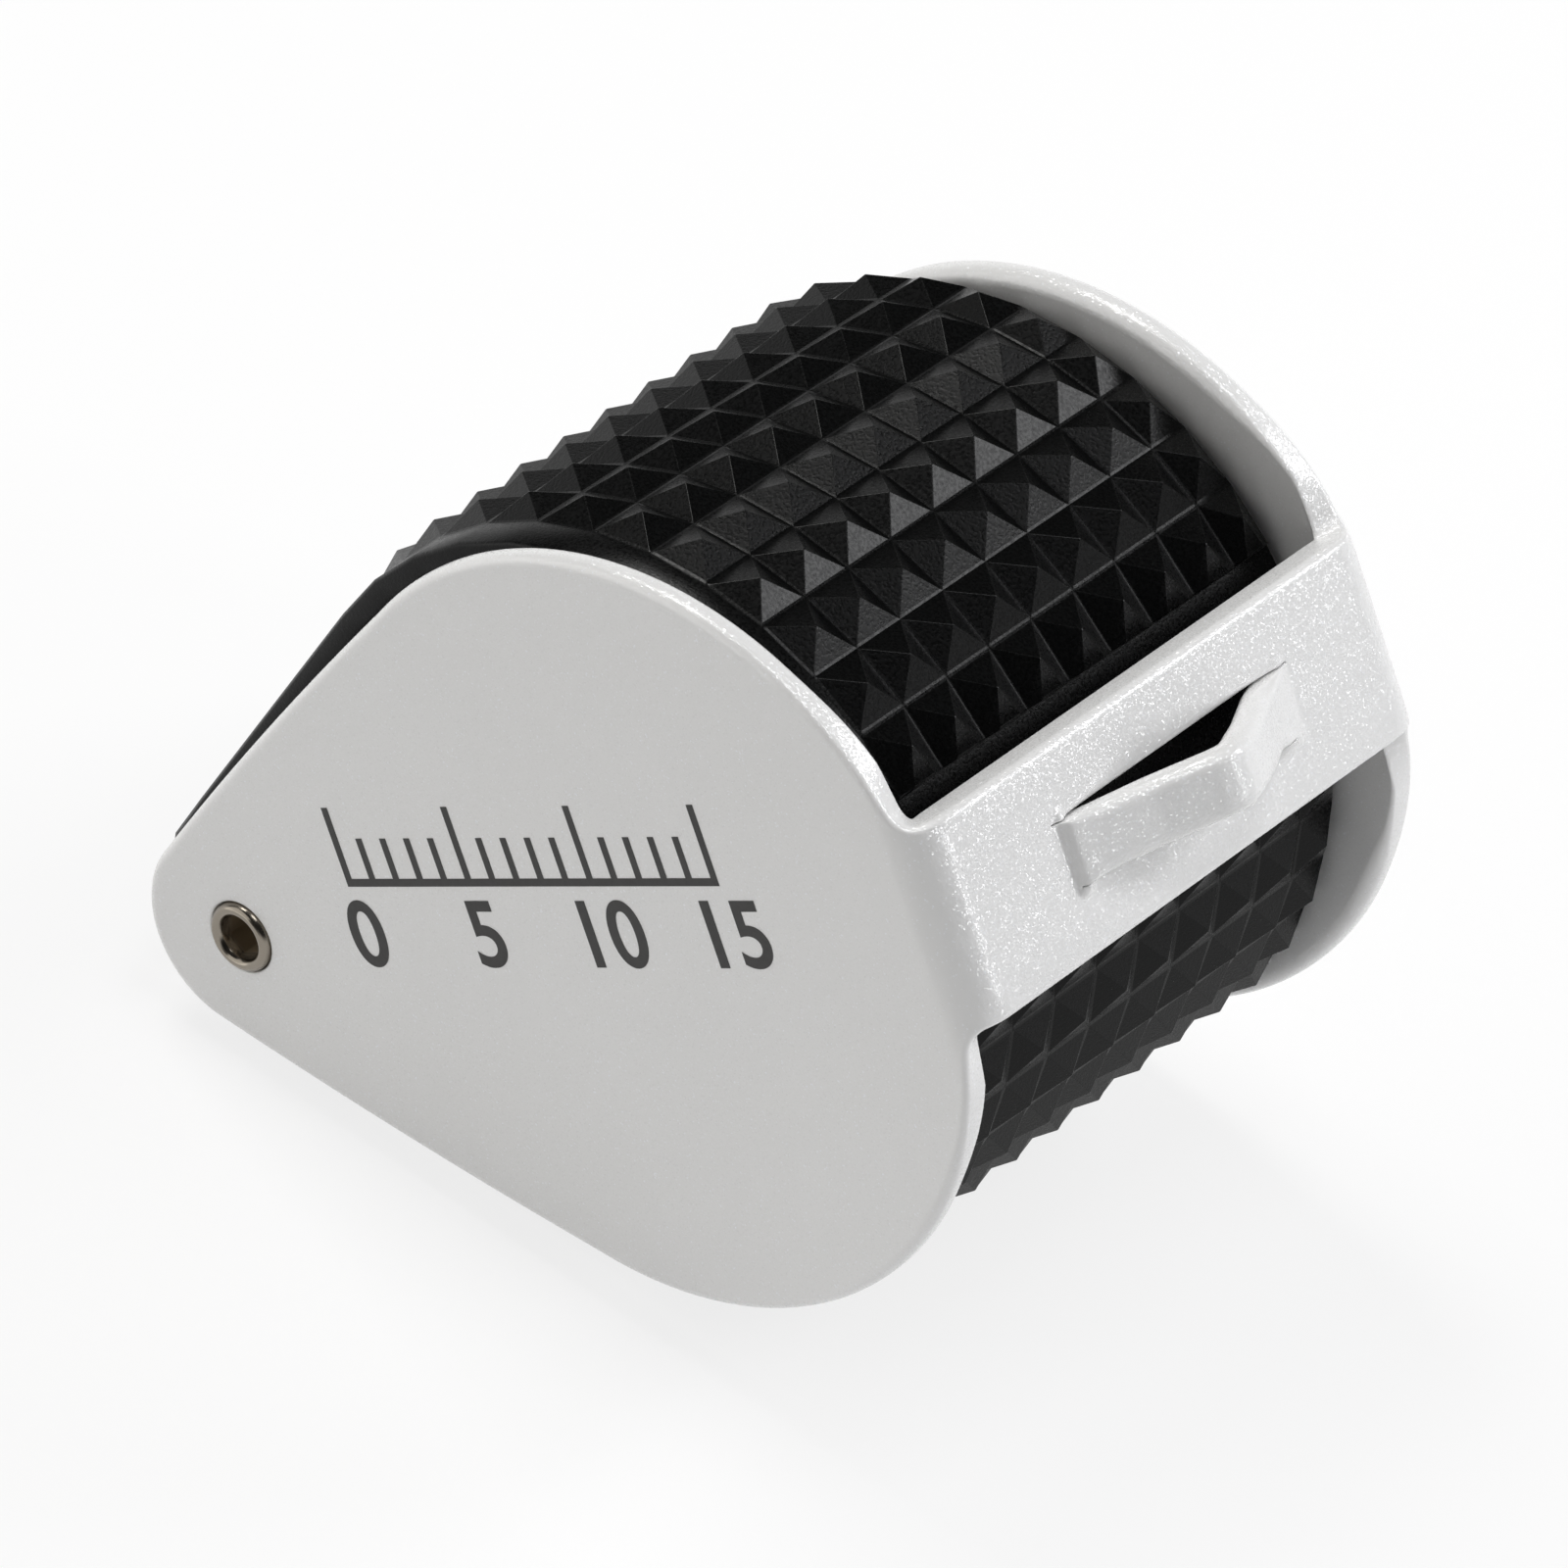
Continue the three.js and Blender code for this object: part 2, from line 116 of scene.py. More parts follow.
# Hinge
PIVOT_INSET = 0.5
HEAD_RADIUS = 1.14
HEAD_PROUD = 0.2
HEAD_EDGE = 0.23
SHANK_RADIUS = 0.9
SHANK_BEVEL = 0.12
SHANK_CORE = 0.1
SOCKET_RADIUS = 0.7
SOCKET_DEPTH = 1.5
SOCKET_POINT = 0.2
SOCKET_SHADE = (-0.05, 0.35)
RIM_ROUND = 0.34
RIM_START = 0.08
RIM_STEPS = 16
NUT_RADIUS = 1.5
NUT_RECESS = 0.05
NUT_EDGE = 0.08
HOLE_GAP = 0.02

# The socket from its floor up: share of its radius, depth, and how far it is a hexagon
SOCKET_ROWS = (
    (0.55, SOCKET_DEPTH, 0.5), (1, SOCKET_DEPTH - 0.15, 1),
    (1, 0.5 - HEAD_PROUD, 1), (1.01, 0.4 - HEAD_PROUD, 0.9),
)

# Grip
GRIP_RADIUS = 11.95
GRIP_TIP_RADIUS = 3.65
SLEEVE_RADIUS = 10.8
SLEEVE_TIP_RADIUS = 2.5
LENS_GAP = 15.0
GRIP_FRONT = 1.26
GRIP_BACK = 19.74
GRIP_EDGE = 0.12
FRONT_BAND = 1.36
BUMP_HEIGHT = 0.5
BUMP_PITCH = 1.94
BUMP_ROWS = 40
BUMP_COLUMNS = 9
VALLEY_ROUNDING = 0.15
RIDGE_SHARE = 0.15
BUMP_TIP = 0.02
STRAP_ROWS = 3
CHANNEL_DEPTH = 0.1
CHANNEL_STEP = 0.06
CHANNEL_LINES = 5
CHANNEL_SHARE = 0.5
LEDGE_HEIGHT = 0.2
LEDGE_SHARES = (0.25, 0.75)

# Rows of bumps that are cut off at the channel, by the side of theirs that faces it
CUT_ROWS = {0: 0, 2: -1}

# Optics and their rings
LENS_RADIUS = 9.0
LENS_STEPS = 18
APERTURE = 8.3
RING_MOUTH = 9.1
RING_RADIUS = 9.75
RING_FACE = 1.73
RING_EDGE = 0.06
RING_GAP = 0.03
RING_STEPS = 40
MOUTH_FALL = 0.4
CELL_LAND = 1.2
CROWN_EDGE = 2.24
CROWN_FACE = 15.5
MENISCUS = 1.2
MENISCUS_FACE = 24.0
CEMENT = 0.02
SLOT_WIDTH = 1.0
SLOT_DEPTH = 0.7
SLOT_WALL = 0.02
SLOT_CLEAR = 6

# Turned pieces
TURNED_SIDES = 96
TURNED_ANGLES = np.linspace(0, math.tau, TURNED_SIDES, endpoint=False)
CORNER_STEPS = 3
CORNER_SHARE = 0.4

# The loupe leans on the lower flank of its grip, with the hinge where the frame has it
LEAN = math.asin((GRIP_RADIUS - GRIP_TIP_RADIUS) / LENS_GAP)
screw_low, screw_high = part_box("pivot_screw")
hinge = (screw_low + screw_high) / 2
FRONT_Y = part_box("cover")[0].y
ORIGIN_X = hinge.x - PIVOT_INSET * MM * math.cos(LEAN)
ORIGIN_Z = hinge.z - PIVOT_INSET * MM * math.sin(LEAN)
MIDDLE_Y = COVER_DEPTH / 2


def placed(u, y, w):
    """Points of the loupe's own axes in the part's frame: turned by the lean about Y, then moved."""
    u, y, w = np.broadcast_arrays(u, y, w)
    x = ORIGIN_X + MM * (u * math.cos(LEAN) - w * math.sin(LEAN))
    z = ORIGIN_Z + MM * (u * math.sin(LEAN) + w * math.cos(LEAN))
    return np.stack([x, FRONT_Y + MM * y, z], axis=-1)


def make_piece(name, points, faces, material, body, slot=None, smooth=True):
    """A mesh object from placed points and face corners, riding on its body."""
    mesh = bpy.data.meshes.new(name)
    mesh.from_pydata(points.tolist(), [], [list(face) for face in faces])
    mesh.validate()
    mesh.polygons.foreach_set("use_smooth", np.full(len(mesh.polygons), smooth))
    mesh.materials.append(material)
    mesh.update()
    piece = bpy.data.objects.new(name, mesh)
    bpy.context.scene.collection.objects.link(piece)
    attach(piece, body)
    return piece


def grid_faces(rows, columns, first=0, wrap_rows=False, wrap_columns=False):
    """Corner indices of the quads between the rows and columns of a grid of points."""
    index = first + np.arange(rows * columns).reshape(rows, columns)
    if wrap_rows:
        index = np.vstack([index, index[:1]])
    if wrap_columns:
        index = np.hstack([index, index[:, :1]])
    corners = [index[:-1, :-1], index[:-1, 1:], index[1:, 1:], index[1:, :-1]]
    return np.stack(corners, axis=-1).reshape(-1, 4)


# Cover: a flat blank with rounded edges, filled between its loops and folded to a channel

BEND_START = STRAP_REACH - BEND_RADIUS
BEND_RUN = BEND_RADIUS * QUARTER
STRAIGHT_RUN = COVER_DEPTH - 2 * BEND_RADIUS
STRAP_MIDDLE = BEND_RUN + STRAIGHT_RUN / 2
BRIDGE_START = STRAP_MIDDLE - BRIDGE_LENGTH / 2
SLIT_CENTRE = BRIDGE_HALF + SLIT_HALF


def bridge_table():
    """How far the bridge stands out along its run: straight ramps between bends, each bend
    softened by averaging the ramps over a short stretch twice. The slope that turns the sheet's
    depth is averaged over a longer stretch, so that the inner face never folds over itself."""
    along = np.linspace(-BRIDGE_MARGIN, BRIDGE_LENGTH + BRIDGE_MARGIN, BRIDGE_SAMPLES)
    rise = np.interp(along, BRIDGE_PLACES, BRIDGE_RISES)
    averaged = []
    for stretch in (BRIDGE_SOFTENING, BRIDGE_LEAN_SOFTENING):
        count = int(stretch / (along[1] - along[0])) | 1
        window = np.full(count, 1 / count)
        averaged.append(np.convolve(np.convolve(rise, window, mode="same"), window, mode="same"))
    return along, averaged[0], np.gradient(averaged[1], along)


BRIDGE_ALONG, BRIDGE_OUT, BRIDGE_SLOPE = bridge_table()


def fade(share):
    """A smooth fall from 1 to 0 as a share goes from 0 to 1."""
    share = np.clip(share, 0, 1)
    return 1 - share**2 * (3 - 2 * share)


def fold(run, width, depth):
    """Carries points of the flat blank (run along it, width across it, depth under its outer
    face) onto the folded cover: straight, a quarter turn, straight, a quarter turn, straight.
    Between the slits the outer face follows the bridge, and depth is measured square to it.
    Past the slits' ends the sheet beside the bridge is drawn up with it and fades to the strap.
    Towards the strap's sides the outer face rolls off and the inner one stands in as a lip."""
    far_bend = BEND_RUN + STRAIGHT_RUN
    near_turn = np.clip(run, 0, BEND_RUN) / BEND_RADIUS
    far_turn = np.clip(run - far_bend, 0, BEND_RUN) / BEND_RADIUS
    u = BEND_START + np.minimum(run, 0) + BEND_RADIUS * np.sin(near_turn)
    u = u - BEND_RADIUS * (1 - np.cos(far_turn)) - np.maximum(run - far_bend - BEND_RUN, 0)
    y = BEND_RADIUS * (1 - np.cos(near_turn)) + np.clip(run - BEND_RUN, 0, STRAIGHT_RUN)
    y = y + BEND_RADIUS * np.sin(far_turn)
    turn = near_turn + far_turn
    normal_u, normal_y = np.sin(turn), -np.cos(turn)
    along = run - BRIDGE_START
    on_strap = (along > -BRIDGE_MARGIN) & (along < BRIDGE_LENGTH + BRIDGE_MARGIN)
    start, end = np.where(width[:, None] > 0, UPPER_SLIT, LOWER_SLIT).T
    past_slit = np.maximum(fade((along - start) / SLIT_FADE), fade((end - along) / SLIT_FADE))
    beside = fade((np.abs(width) - SLIT_CENTRE) / BRIDGE_SKIRT)
    carried = np.where(np.abs(width) < SLIT_CENTRE, 1, past_slit * beside) * on_strap
    side = np.clip(1 - (STRAP_HALF - np.abs(width)) / ROLL_WIDTH, 0, 1)
    side = side**2 * fade((np.abs(run - STRAP_MIDDLE) - STRAIGHT_RUN / 2) / BEND_RUN)
    share = depth / SHEET
    depth = depth + side * (ROLL_DEPTH * (1 - share) + LIP_DEPTH * share)
    rise = carried * np.interp(along, BRIDGE_ALONG, BRIDGE_OUT)
    slope = carried * np.interp(along, BRIDGE_ALONG, BRIDGE_SLOPE)
    steep = np.sqrt(1 + slope**2)
    normal_u = np.where(on_strap, 1 / steep, normal_u)
    normal_y = np.where(on_strap, -slope / steep, normal_y)
    return placed(u + rise - depth * normal_u, y - depth * normal_y, width)


def arc(centre, radius, start, end, steps, side=1):
    """Points of an arc without its last one, each with the normal that points out of the sheet."""
    angle = np.linspace(start, end, steps, endpoint=False)
    ray = np.stack([np.cos(angle), np.sin(angle)], axis=1)
    return np.hstack([np.array(centre) + radius * ray, side * ray])


def line(start, end, steps, normal, bow=0.0):
    """Points of a straight or bowed run without its last one, each with its outward normal."""
    share = np.linspace(0, 1, steps, endpoint=False)[:, None]
    start, end, normal = (np.array(value, float) for value in (start, end, normal))
    along = (end - start) / np.linalg.norm(end - start)
    points = start + share * (end - start) + 4 * bow * share * (1 - share) * normal
    leaned = normal - 4 * bow * (1 - 2 * share) / np.linalg.norm(end - start) * along
    return np.hstack([points, leaned / np.linalg.norm(leaned, axis=1, keepdims=True)])


def blank_outline():
    """The blank's edge: a tip arc, a bowed flank, the plate's round, a fillet and the strap's
    side make a quarter, and its mirror images make the whole, anticlockwise."""
    flank_turn = QUARTER + math.asin((PLATE_RADIUS - TIP_RADIUS) / ROUND_GAP)
    upward = np.array([math.cos(flank_turn), math.sin(flank_turn)])
    fillet_height = STRAP_HALF + CORNER_FILLET
    fillet_reach = PLATE_RADIUS + CORNER_FILLET
    fillet_turn = math.asin(fillet_height / fillet_reach)
    fillet_centre = (ROUND_GAP + fillet_reach * math.cos(fillet_turn), fillet_height)
    round_centre = np.array([ROUND_GAP, 0.0])
    flank = (upward * TIP_RADIUS, round_centre + upward * PLATE_RADIUS)
    strap_side = ((fillet_centre[0], STRAP_HALF), (STRAP_MIDDLE + BEND_START, STRAP_HALF))
    quarter = np.vstack([
        arc((0, 0), TIP_RADIUS, math.pi, flank_turn, FLANK_STEPS),
        line(*flank, FLANK_STEPS, upward, FLANK_BOW),
        arc(round_centre, PLATE_RADIUS, flank_turn, fillet_turn, PLATE_STEPS),
        arc(fillet_centre, CORNER_FILLET, math.pi + fillet_turn, 3 * QUARTER, FILLET_STEPS, side=-1),
        line(*strap_side, STRAP_STEPS, (0, 1)),
    ])
    quarter[:, 0] -= BEND_START
    far = quarter[::-1] * (-1, 1, -1, 1) + (2 * STRAP_MIDDLE, 0, 0, 0)
    crossing = np.array([[STRAP_MIDDLE, STRAP_HALF, 0, 1]])
    upper = np.vstack([quarter, crossing, far])
    lower = upper[1:-1] * (1, -1, 1, -1)
    return np.vstack([upper[:1], lower, upper[-1:], upper[1:-1][::-1]])


def slit_outline(way):
    """A slit beside the bridge: two long sides joined by small round ends, clockwise."""
    start, end = np.array(UPPER_SLIT if way > 0 else LOWER_SLIT) + BRIDGE_START
    centre = way * SLIT_CENTRE
    high, low = centre + SLIT_HALF, centre - SLIT_HALF
    return np.vstack([
        line((start, high), (end, high), SLIT_STEPS, (0, -1)),
        arc((end, centre), SLIT_HALF, QUARTER, -QUARTER, SLIT_END_STEPS, side=-1),
        line((end, low), (start, low), SLIT_STEPS, (0, 1)),
        arc((start, centre), SLIT_HALF, -QUARTER, -3 * QUARTER, SLIT_END_STEPS, side=-1),
    ])


def hole_outline(centre_run, radius):
    """A round hole on the middle line, clockwise."""
    return arc((centre_run, 0), radius, math.tau, 0, HOLE_STEPS, side=-1)


def round_over(radius, steps):
    """A quarter round from a face of the sheet to its wall, as pairs of inset and depth."""
    turn = np.linspace(0, QUARTER, steps + 1)
    return np.stack([radius * (1 - np.sin(turn)), radius * (1 - np.cos(turn))], axis=1)


def edge_profile(outer, inner):
    """The sheet's edge as pairs of inset and depth: a small land, a round from the outer face,
    a wall, a round to the inner face and a land."""
    low = round_over(inner, EDGE_STEPS)[::-1] * (1, -1) + (0, SHEET)
    return np.vstack([[outer + EDGE_LAND, 0], round_over(outer, EDGE_STEPS), low,
                      [inner + EDGE_LAND, SHEET]])


def slit_profiles(outline):
    """An edge profile for every point of a slit: on the bridge's side a full round, on the
    strap's side a small one, and both close to a hairline as the bridge comes down."""
    run = outline[:, 0]
    rise = np.interp(run - BRIDGE_START, BRIDGE_ALONG, BRIDGE_OUT)
    from_end = np.minimum(run - run.min(), run.max() - run)
    open_share = (1 - fade(rise / SHEET)) * (1 - fade(from_end / SLIT_FADE))
    full = np.where(np.abs(outline[:, 1]) < SLIT_CENTRE, BRIDGE_EDGE, STRAP_SLIT_EDGE)
    outer = SLIT_END_EDGE + (full - SLIT_END_EDGE) * open_share
    return np.stack([edge_profile(radius, SLIT_INNER_EDGE) for radius in outer], axis=1)


def outline_profiles(outline):
    """An edge profile for every point of the blank's edge, softer on the plates than on the
    strap."""
    away = np.abs(outline[:, 0] - STRAP_MIDDLE) - STRAP_MIDDLE
    on_strap = fade(away / EDGE_CHANGE)[:, None]
    edges = PLATE_EDGES + on_strap * np.subtract(STRAP_EDGES, PLATE_EDGES)
    return np.stack([edge_profile(*pair) for pair in edges], axis=1)


def countersunk_profile():
    """The screw hole's edge: a small round, a straight land, then a cone down to the shank."""
    shank = SHANK_RADIUS - HEAD_RADIUS
    return np.vstack([
        [HOLE_EDGE + EDGE_LAND, 0], round_over(HOLE_EDGE, HOLE_EDGE_STEPS), [0, HEAD_EDGE],
        [shank, SHEET - EDGE_LAND], [shank + EDGE_LAND, SHEET], [shank + 2 * EDGE_LAND, SHEET],
    ])


def within(points, loop):
    """Which points lie inside a closed loop, by the parity of the edges to their right."""
    a, b = loop, np.roll(loop, -1, axis=0)
    level = points[:, 1, None]
    crosses = (a[:, 1] > level) != (b[:, 1] > level)
    rise = np.where(crosses, b[:, 1] - a[:, 1], 1)
    reach = a[:, 0] + (level - a[:, 1]) * (b[:, 0] - a[:, 0]) / rise
    return (crosses & (points[:, 0, None] < reach)).sum(axis=1) % 2 == 1


def in_sheet(points, loops):
    """Which points lie inside the first loop and outside the others."""
    keep = within(points, loops[0])
    for loop in loops[1:]:
        keep &= ~within(points, loop)
    return keep


def clear_of(points, loops, gap):
    """Which points lie in the sheet and at least a gap away from every loop."""
    keep = in_sheet(points, loops)
    for loop in loops:
        keep &= np.linalg.norm(points[:, None] - loop[None], axis=2).min(axis=1) > gap
    return keep


def crossings(runs, widths):
    """The points of a net, one run after another."""
    return np.stack(np.meshgrid(runs, widths, indexing="ij"), axis=-1).reshape(-1, 2)


def fill(loops):
    """Triangles between an outer loop and the holes in it, with rulings across both bends and
    the bridge so that the folded face stays smooth, and a coarse net over the flat plates."""
    points = np.vstack(loops)
    edges = []
    first = 0
    for loop in loops:
        index = first + np.arange(len(loop))
        edges += np.stack([index, np.roll(index, -1)], axis=1).tolist()
        first += len(loop)
    on_edges = first
    across = np.arange(-BEND_SPOTS, BEND_SPOTS + 1) * BEND_SPACING
    bend_runs = np.linspace(0, BEND_RUN, BEND_RULINGS)
    far_runs = bend_runs + BEND_RUN + STRAIGHT_RUN
    bridge_runs = np.linspace(BRIDGE_START - BRIDGE_MARGIN,
                              BRIDGE_START + BRIDGE_LENGTH + BRIDGE_MARGIN, BRIDGE_RULINGS)
    half_across = np.concatenate([BRIDGE_HALF * np.array(SPOTS_ON_BRIDGE),
                                  BRIDGE_HALF + np.array(SPOTS_BESIDE_BRIDGE)])
    bridge_across = np.concatenate([-half_across[::-1], [0.0], half_across])
    for runs, widths in ((bend_runs, across), (far_runs, across), (bridge_runs, bridge_across)):
        ruling = crossings(runs, widths)
        keep = clear_of(ruling, loops, RULING_GAP)
        number = np.full(len(ruling), -1)
        number[keep] = first + np.arange(keep.sum())
        points = np.vstack([points, ruling[keep]])
        first += int(keep.sum())
        number = number.reshape(len(runs), len(widths))
        one, other = number[:, :-1], number[:, 1:]
        joined = (one >= 0) & (other >= 0)
        edges += np.stack([one[joined], other[joined]], axis=1).tolist()
    net = crossings(np.arange(*NET_RUNS, NET_PITCH), np.arange(*NET_WIDTHS, NET_PITCH))
    flat = (net[:, 0] < -NET_START) | (net[:, 0] > 2 * STRAP_MIDDLE + NET_START)
    points = np.vstack([points, net[flat & clear_of(net, loops, NET_GAP)]])
    made = delaunay_2d_cdt([Vector(p) for p in points.tolist()], edges, [], 0, MERGE_GAP, True)
    corners, triangles = np.array([tuple(v) for v in made[0]]), np.array(made[2])
    triangles = triangles[in_sheet(corners[triangles].mean(axis=1), loops)]
    origin = np.array([source[0] if source else -1 for source in made[3]])[triangles]
    if (origin < 0).any():
        raise RuntimeError("the cover's loops and rulings cross")
    return points[on_edges:], origin


def cover_mesh():
    """The blank's edges are profiles carried round its outline, slits and holes; its two faces
    are filled between their last loops, and every point is folded."""
    screw_run = PIVOT_INSET - BEND_START
    screw_hole = hole_outline(screw_run, HEAD_RADIUS + HOLE_GAP)
    nut_hole = hole_outline(2 * STRAP_MIDDLE - screw_run, NUT_RADIUS + HOLE_GAP)
    edges = [(blank_outline(), outline_profiles(blank_outline()))]
    edges += [(slit_outline(way), slit_profiles(slit_outline(way))) for way in (1, -1)]
    edges += [(screw_hole, countersunk_profile()), (nut_hole, edge_profile(*NUT_HOLE_EDGES))]
    flat, faces, top, low = [], [], [], []
    first = 0
    for outline, profile in edges:
        rows, columns = len(profile), len(outline)
        profile = np.broadcast_to(profile.reshape(rows, -1, 2), (rows, columns, 2))
        spots = outline[None, :, :2] - profile[:, :, :1] * outline[None, :, 2:]
        flat.append(np.concatenate([spots, profile[:, :, 1:]], axis=2).reshape(-1, 3))
        faces += grid_faces(rows, columns, first, wrap_columns=True)[:, ::-1].tolist()
        index = first + np.arange(columns)
        top.append((spots[0], index))
        low.append((spots[-1], index + (rows - 1) * columns))
        first += rows * columns
    for edge, depth, way in ((top, 0.0, 1), (low, SHEET, -1)):
        loops, index = zip(*edge)
        inner, triangles = fill(loops)
        numbers = np.concatenate([*index, first + np.arange(len(inner))])
        flat.append(np.hstack([inner, np.full((len(inner), 1), depth)]))
        first += len(inner)
        faces += numbers[triangles][:, ::way].tolist()
    flat = np.vstack(flat)
    return fold(flat[:, 0], flat[:, 1], flat[:, 2]), faces


# Turned pieces: a profile of radius and depth carried round an axis along Y

def turned(axis_u, radius, depth, angle=TURNED_ANGLES):
    """Points round an axis along Y, from their radius, depth and angle."""
    return placed(axis_u + radius * np.cos(angle), depth, radius * np.sin(angle))


def closed_mesh(axis_u, radius, depth, end_depths):
    """Rings round an axis along Y, closed at both ends by a point each on the axis."""
    points = turned(axis_u, radius, depth)
    rows, sides = points.shape[:2]
    ends = placed(axis_u, np.array(end_depths), 0.0)
    faces = grid_faces(rows, sides, wrap_columns=True)[:, ::-1].tolist()
    ring = np.arange(sides)
    after = np.roll(ring, -1)
    start, last = rows * sides, (rows - 1) * sides
    for centre, one, other in ((start, ring, after), (start + 1, last + after, last + ring)):
        faces += np.stack([np.full(sides, centre), one, other], axis=1).tolist()
    return np.vstack([points.reshape(-1, 3), ends]), faces


def rounded(profile, radius):
    """A closed profile with each corner replaced by a small arc between its two sides, drawn as
    a quadratic curve through the corner's control point."""
    before, after = np.roll(profile, 1, axis=0), np.roll(profile, -1, axis=0)
    start, end = [
        profile + side / np.linalg.norm(side, axis=1, keepdims=True)
        * np.minimum(radius, CORNER_SHARE * np.linalg.norm(side, axis=1, keepdims=True))
        for side in (before - profile, after - profile)
    ]
    share = np.linspace(0, 1, CORNER_STEPS + 1)[None, :, None]
    curve = (1 - share)**2 * start[:, None] + 2 * share * (1 - share) * profile[:, None]
    return (curve + share**2 * end[:, None]).reshape(-1, 2)


def ring_mesh(profile, axis_u):
    """A closed profile of [radius, depth] pairs turned about an axis along Y."""
    points = turned(axis_u, profile[:, 0, None], profile[:, 1, None])
    faces = grid_faces(len(profile), TURNED_SIDES, wrap_rows=True, wrap_columns=True)
    return points.reshape(-1, 3), faces[:, ::-1]


def sag(face_radius, distance):
    """How far a round face falls back at a distance from its axis."""
    return face_radius - np.sqrt(face_radius**2 - distance**2)


CROWN_HALF = CROWN_EDGE / 2 + sag(CROWN_FACE, LENS_RADIUS)
OPTIC_HALF = CROWN_HALF + CEMENT + MENISCUS


def lens_mesh(front_y, front_radius, back_y, back_radius):
    """Two round faces turned about the lens's axis, each drawn from the axis to the edge, with a
    positive radius bulging forwards."""
    reach = LENS_RADIUS * np.sin(np.linspace(0, QUARTER, LENS_STEPS))
    front, back = [
        np.stack([reach, MIDDLE_Y + y + np.sign(radius) * sag(abs(radius), reach)], axis=1)
        for y, radius in ((front_y, front_radius), (back_y, back_radius))
    ]
    profile = np.vstack([front, back[::-1]])
    inner = profile[1:-1]
    return closed_mesh(LENS_GAP, inner[:, 0, None], inner[:, 1, None], profile[[0, -1], 1])


def slotted_ring_mesh(way):
    """A lock ring with a flared mouth and two spanner slots: a profile turned about the axis,
    whose outer face falls back by the slots' depth between their parallel sides."""
    inner_y = OPTIC_HALF - sag(MENISCUS_FACE, APERTURE) + RING_GAP + CELL_LAND + RING_GAP
    face_y = MIDDLE_Y - RING_FACE
    profile = np.array([
        [APERTURE + RING_EDGE, inner_y, 0], [RING_RADIUS, inner_y, 0],
        [RING_RADIUS, face_y - RING_EDGE, 1], [RING_RADIUS - RING_EDGE, face_y, 1],
        [RING_MOUTH + 3 * RING_EDGE, face_y, 1],
        [RING_MOUTH + RING_EDGE, face_y - MOUTH_FALL * RING_EDGE, 1],
        [RING_MOUTH, face_y - 2 * RING_EDGE, 1], [APERTURE, inner_y + 4 * RING_EDGE, 0],
        [APERTURE, inner_y + RING_EDGE, 0],
    ])
    half = SLOT_WIDTH / 2
    offsets = np.array([-half - SLOT_WALL, -half, -half / 2, 0, half / 2, half, half + SLOT_WALL])
    deep = np.array([0, 1, 1, 1, 1, 1, 0])
    plain = np.linspace(math.radians(SLOT_CLEAR), math.radians(180 - SLOT_CLEAR), RING_STEPS)
    level = np.zeros(RING_STEPS)
    base = np.concatenate([0 * deep, plain, math.pi + 0 * deep, plain + math.pi])
    offset = np.concatenate([offsets, level, offsets, level])
    cut = np.concatenate([deep, level, deep, level])
    radius, depth = profile[:, 0, None], profile[:, 1, None]
    fall = np.maximum(depth - (face_y - SLOT_DEPTH), 0)
    depth = depth - cut * profile[:, 2, None] * fall
    points = turned(LENS_GAP, radius, MIDDLE_Y + way * depth, base + np.arcsin(offset / radius))
    faces = grid_faces(len(profile), len(base), wrap_rows=True, wrap_columns=True)
    return points.reshape(-1, 3), faces[:, ::-way]


def screw_mesh():
    """The screw from its hex socket outwards: each ring of the profile blends from a hexagon to
    a circle, down the socket's walls, over the rounded rim and the cone, and along the shank."""
    corner = math.pi / 6
    sector = (TURNED_ANGLES + corner) % (2 * corner) - corner
    hexagon = math.cos(corner) / np.cos(corner - np.abs(sector))
    rim_middle = (HEAD_RADIUS + SOCKET_RADIUS) / 2
    rim_half = (HEAD_RADIUS - SOCKET_RADIUS) / 2
    end = COVER_DEPTH - NUT_RECESS
    rows = [(share * SOCKET_RADIUS, depth, sixfold) for share, depth, sixfold in SOCKET_ROWS]
    rows += [
        (rim_middle - rim_half * math.cos(turn), RIM_ROUND * (1 - math.sin(turn)) - HEAD_PROUD, 0)
        for turn in np.linspace(RIM_START, 1, RIM_STEPS) * math.pi
    ]
    rows += [
        (HEAD_RADIUS, HEAD_EDGE, 0), (SHANK_RADIUS, SHEET, 0), (SHANK_RADIUS, end - SHANK_BEVEL, 0),
        (SHANK_RADIUS - SHANK_BEVEL, end, 0), (SHANK_CORE, end, 0),
    ]
    table = np.array(rows)
    radius = table[:, 0, None] * (1 + table[:, 2, None] * (hexagon - 1))
    return closed_mesh(PIVOT_INSET, radius, table[:, 1, None], (SOCKET_DEPTH + SOCKET_POINT, end))


# Grip: four-sided bumps in rows round the teardrop

FLANK_TURN = QUARTER + LEAN
ROUND_RUN = GRIP_RADIUS * FLANK_TURN
FLANK_RUN = LENS_GAP * math.sin(FLANK_TURN)
GRIP_HALF_RUN = ROUND_RUN + FLANK_RUN + GRIP_TIP_RADIUS * (math.pi - FLANK_TURN)


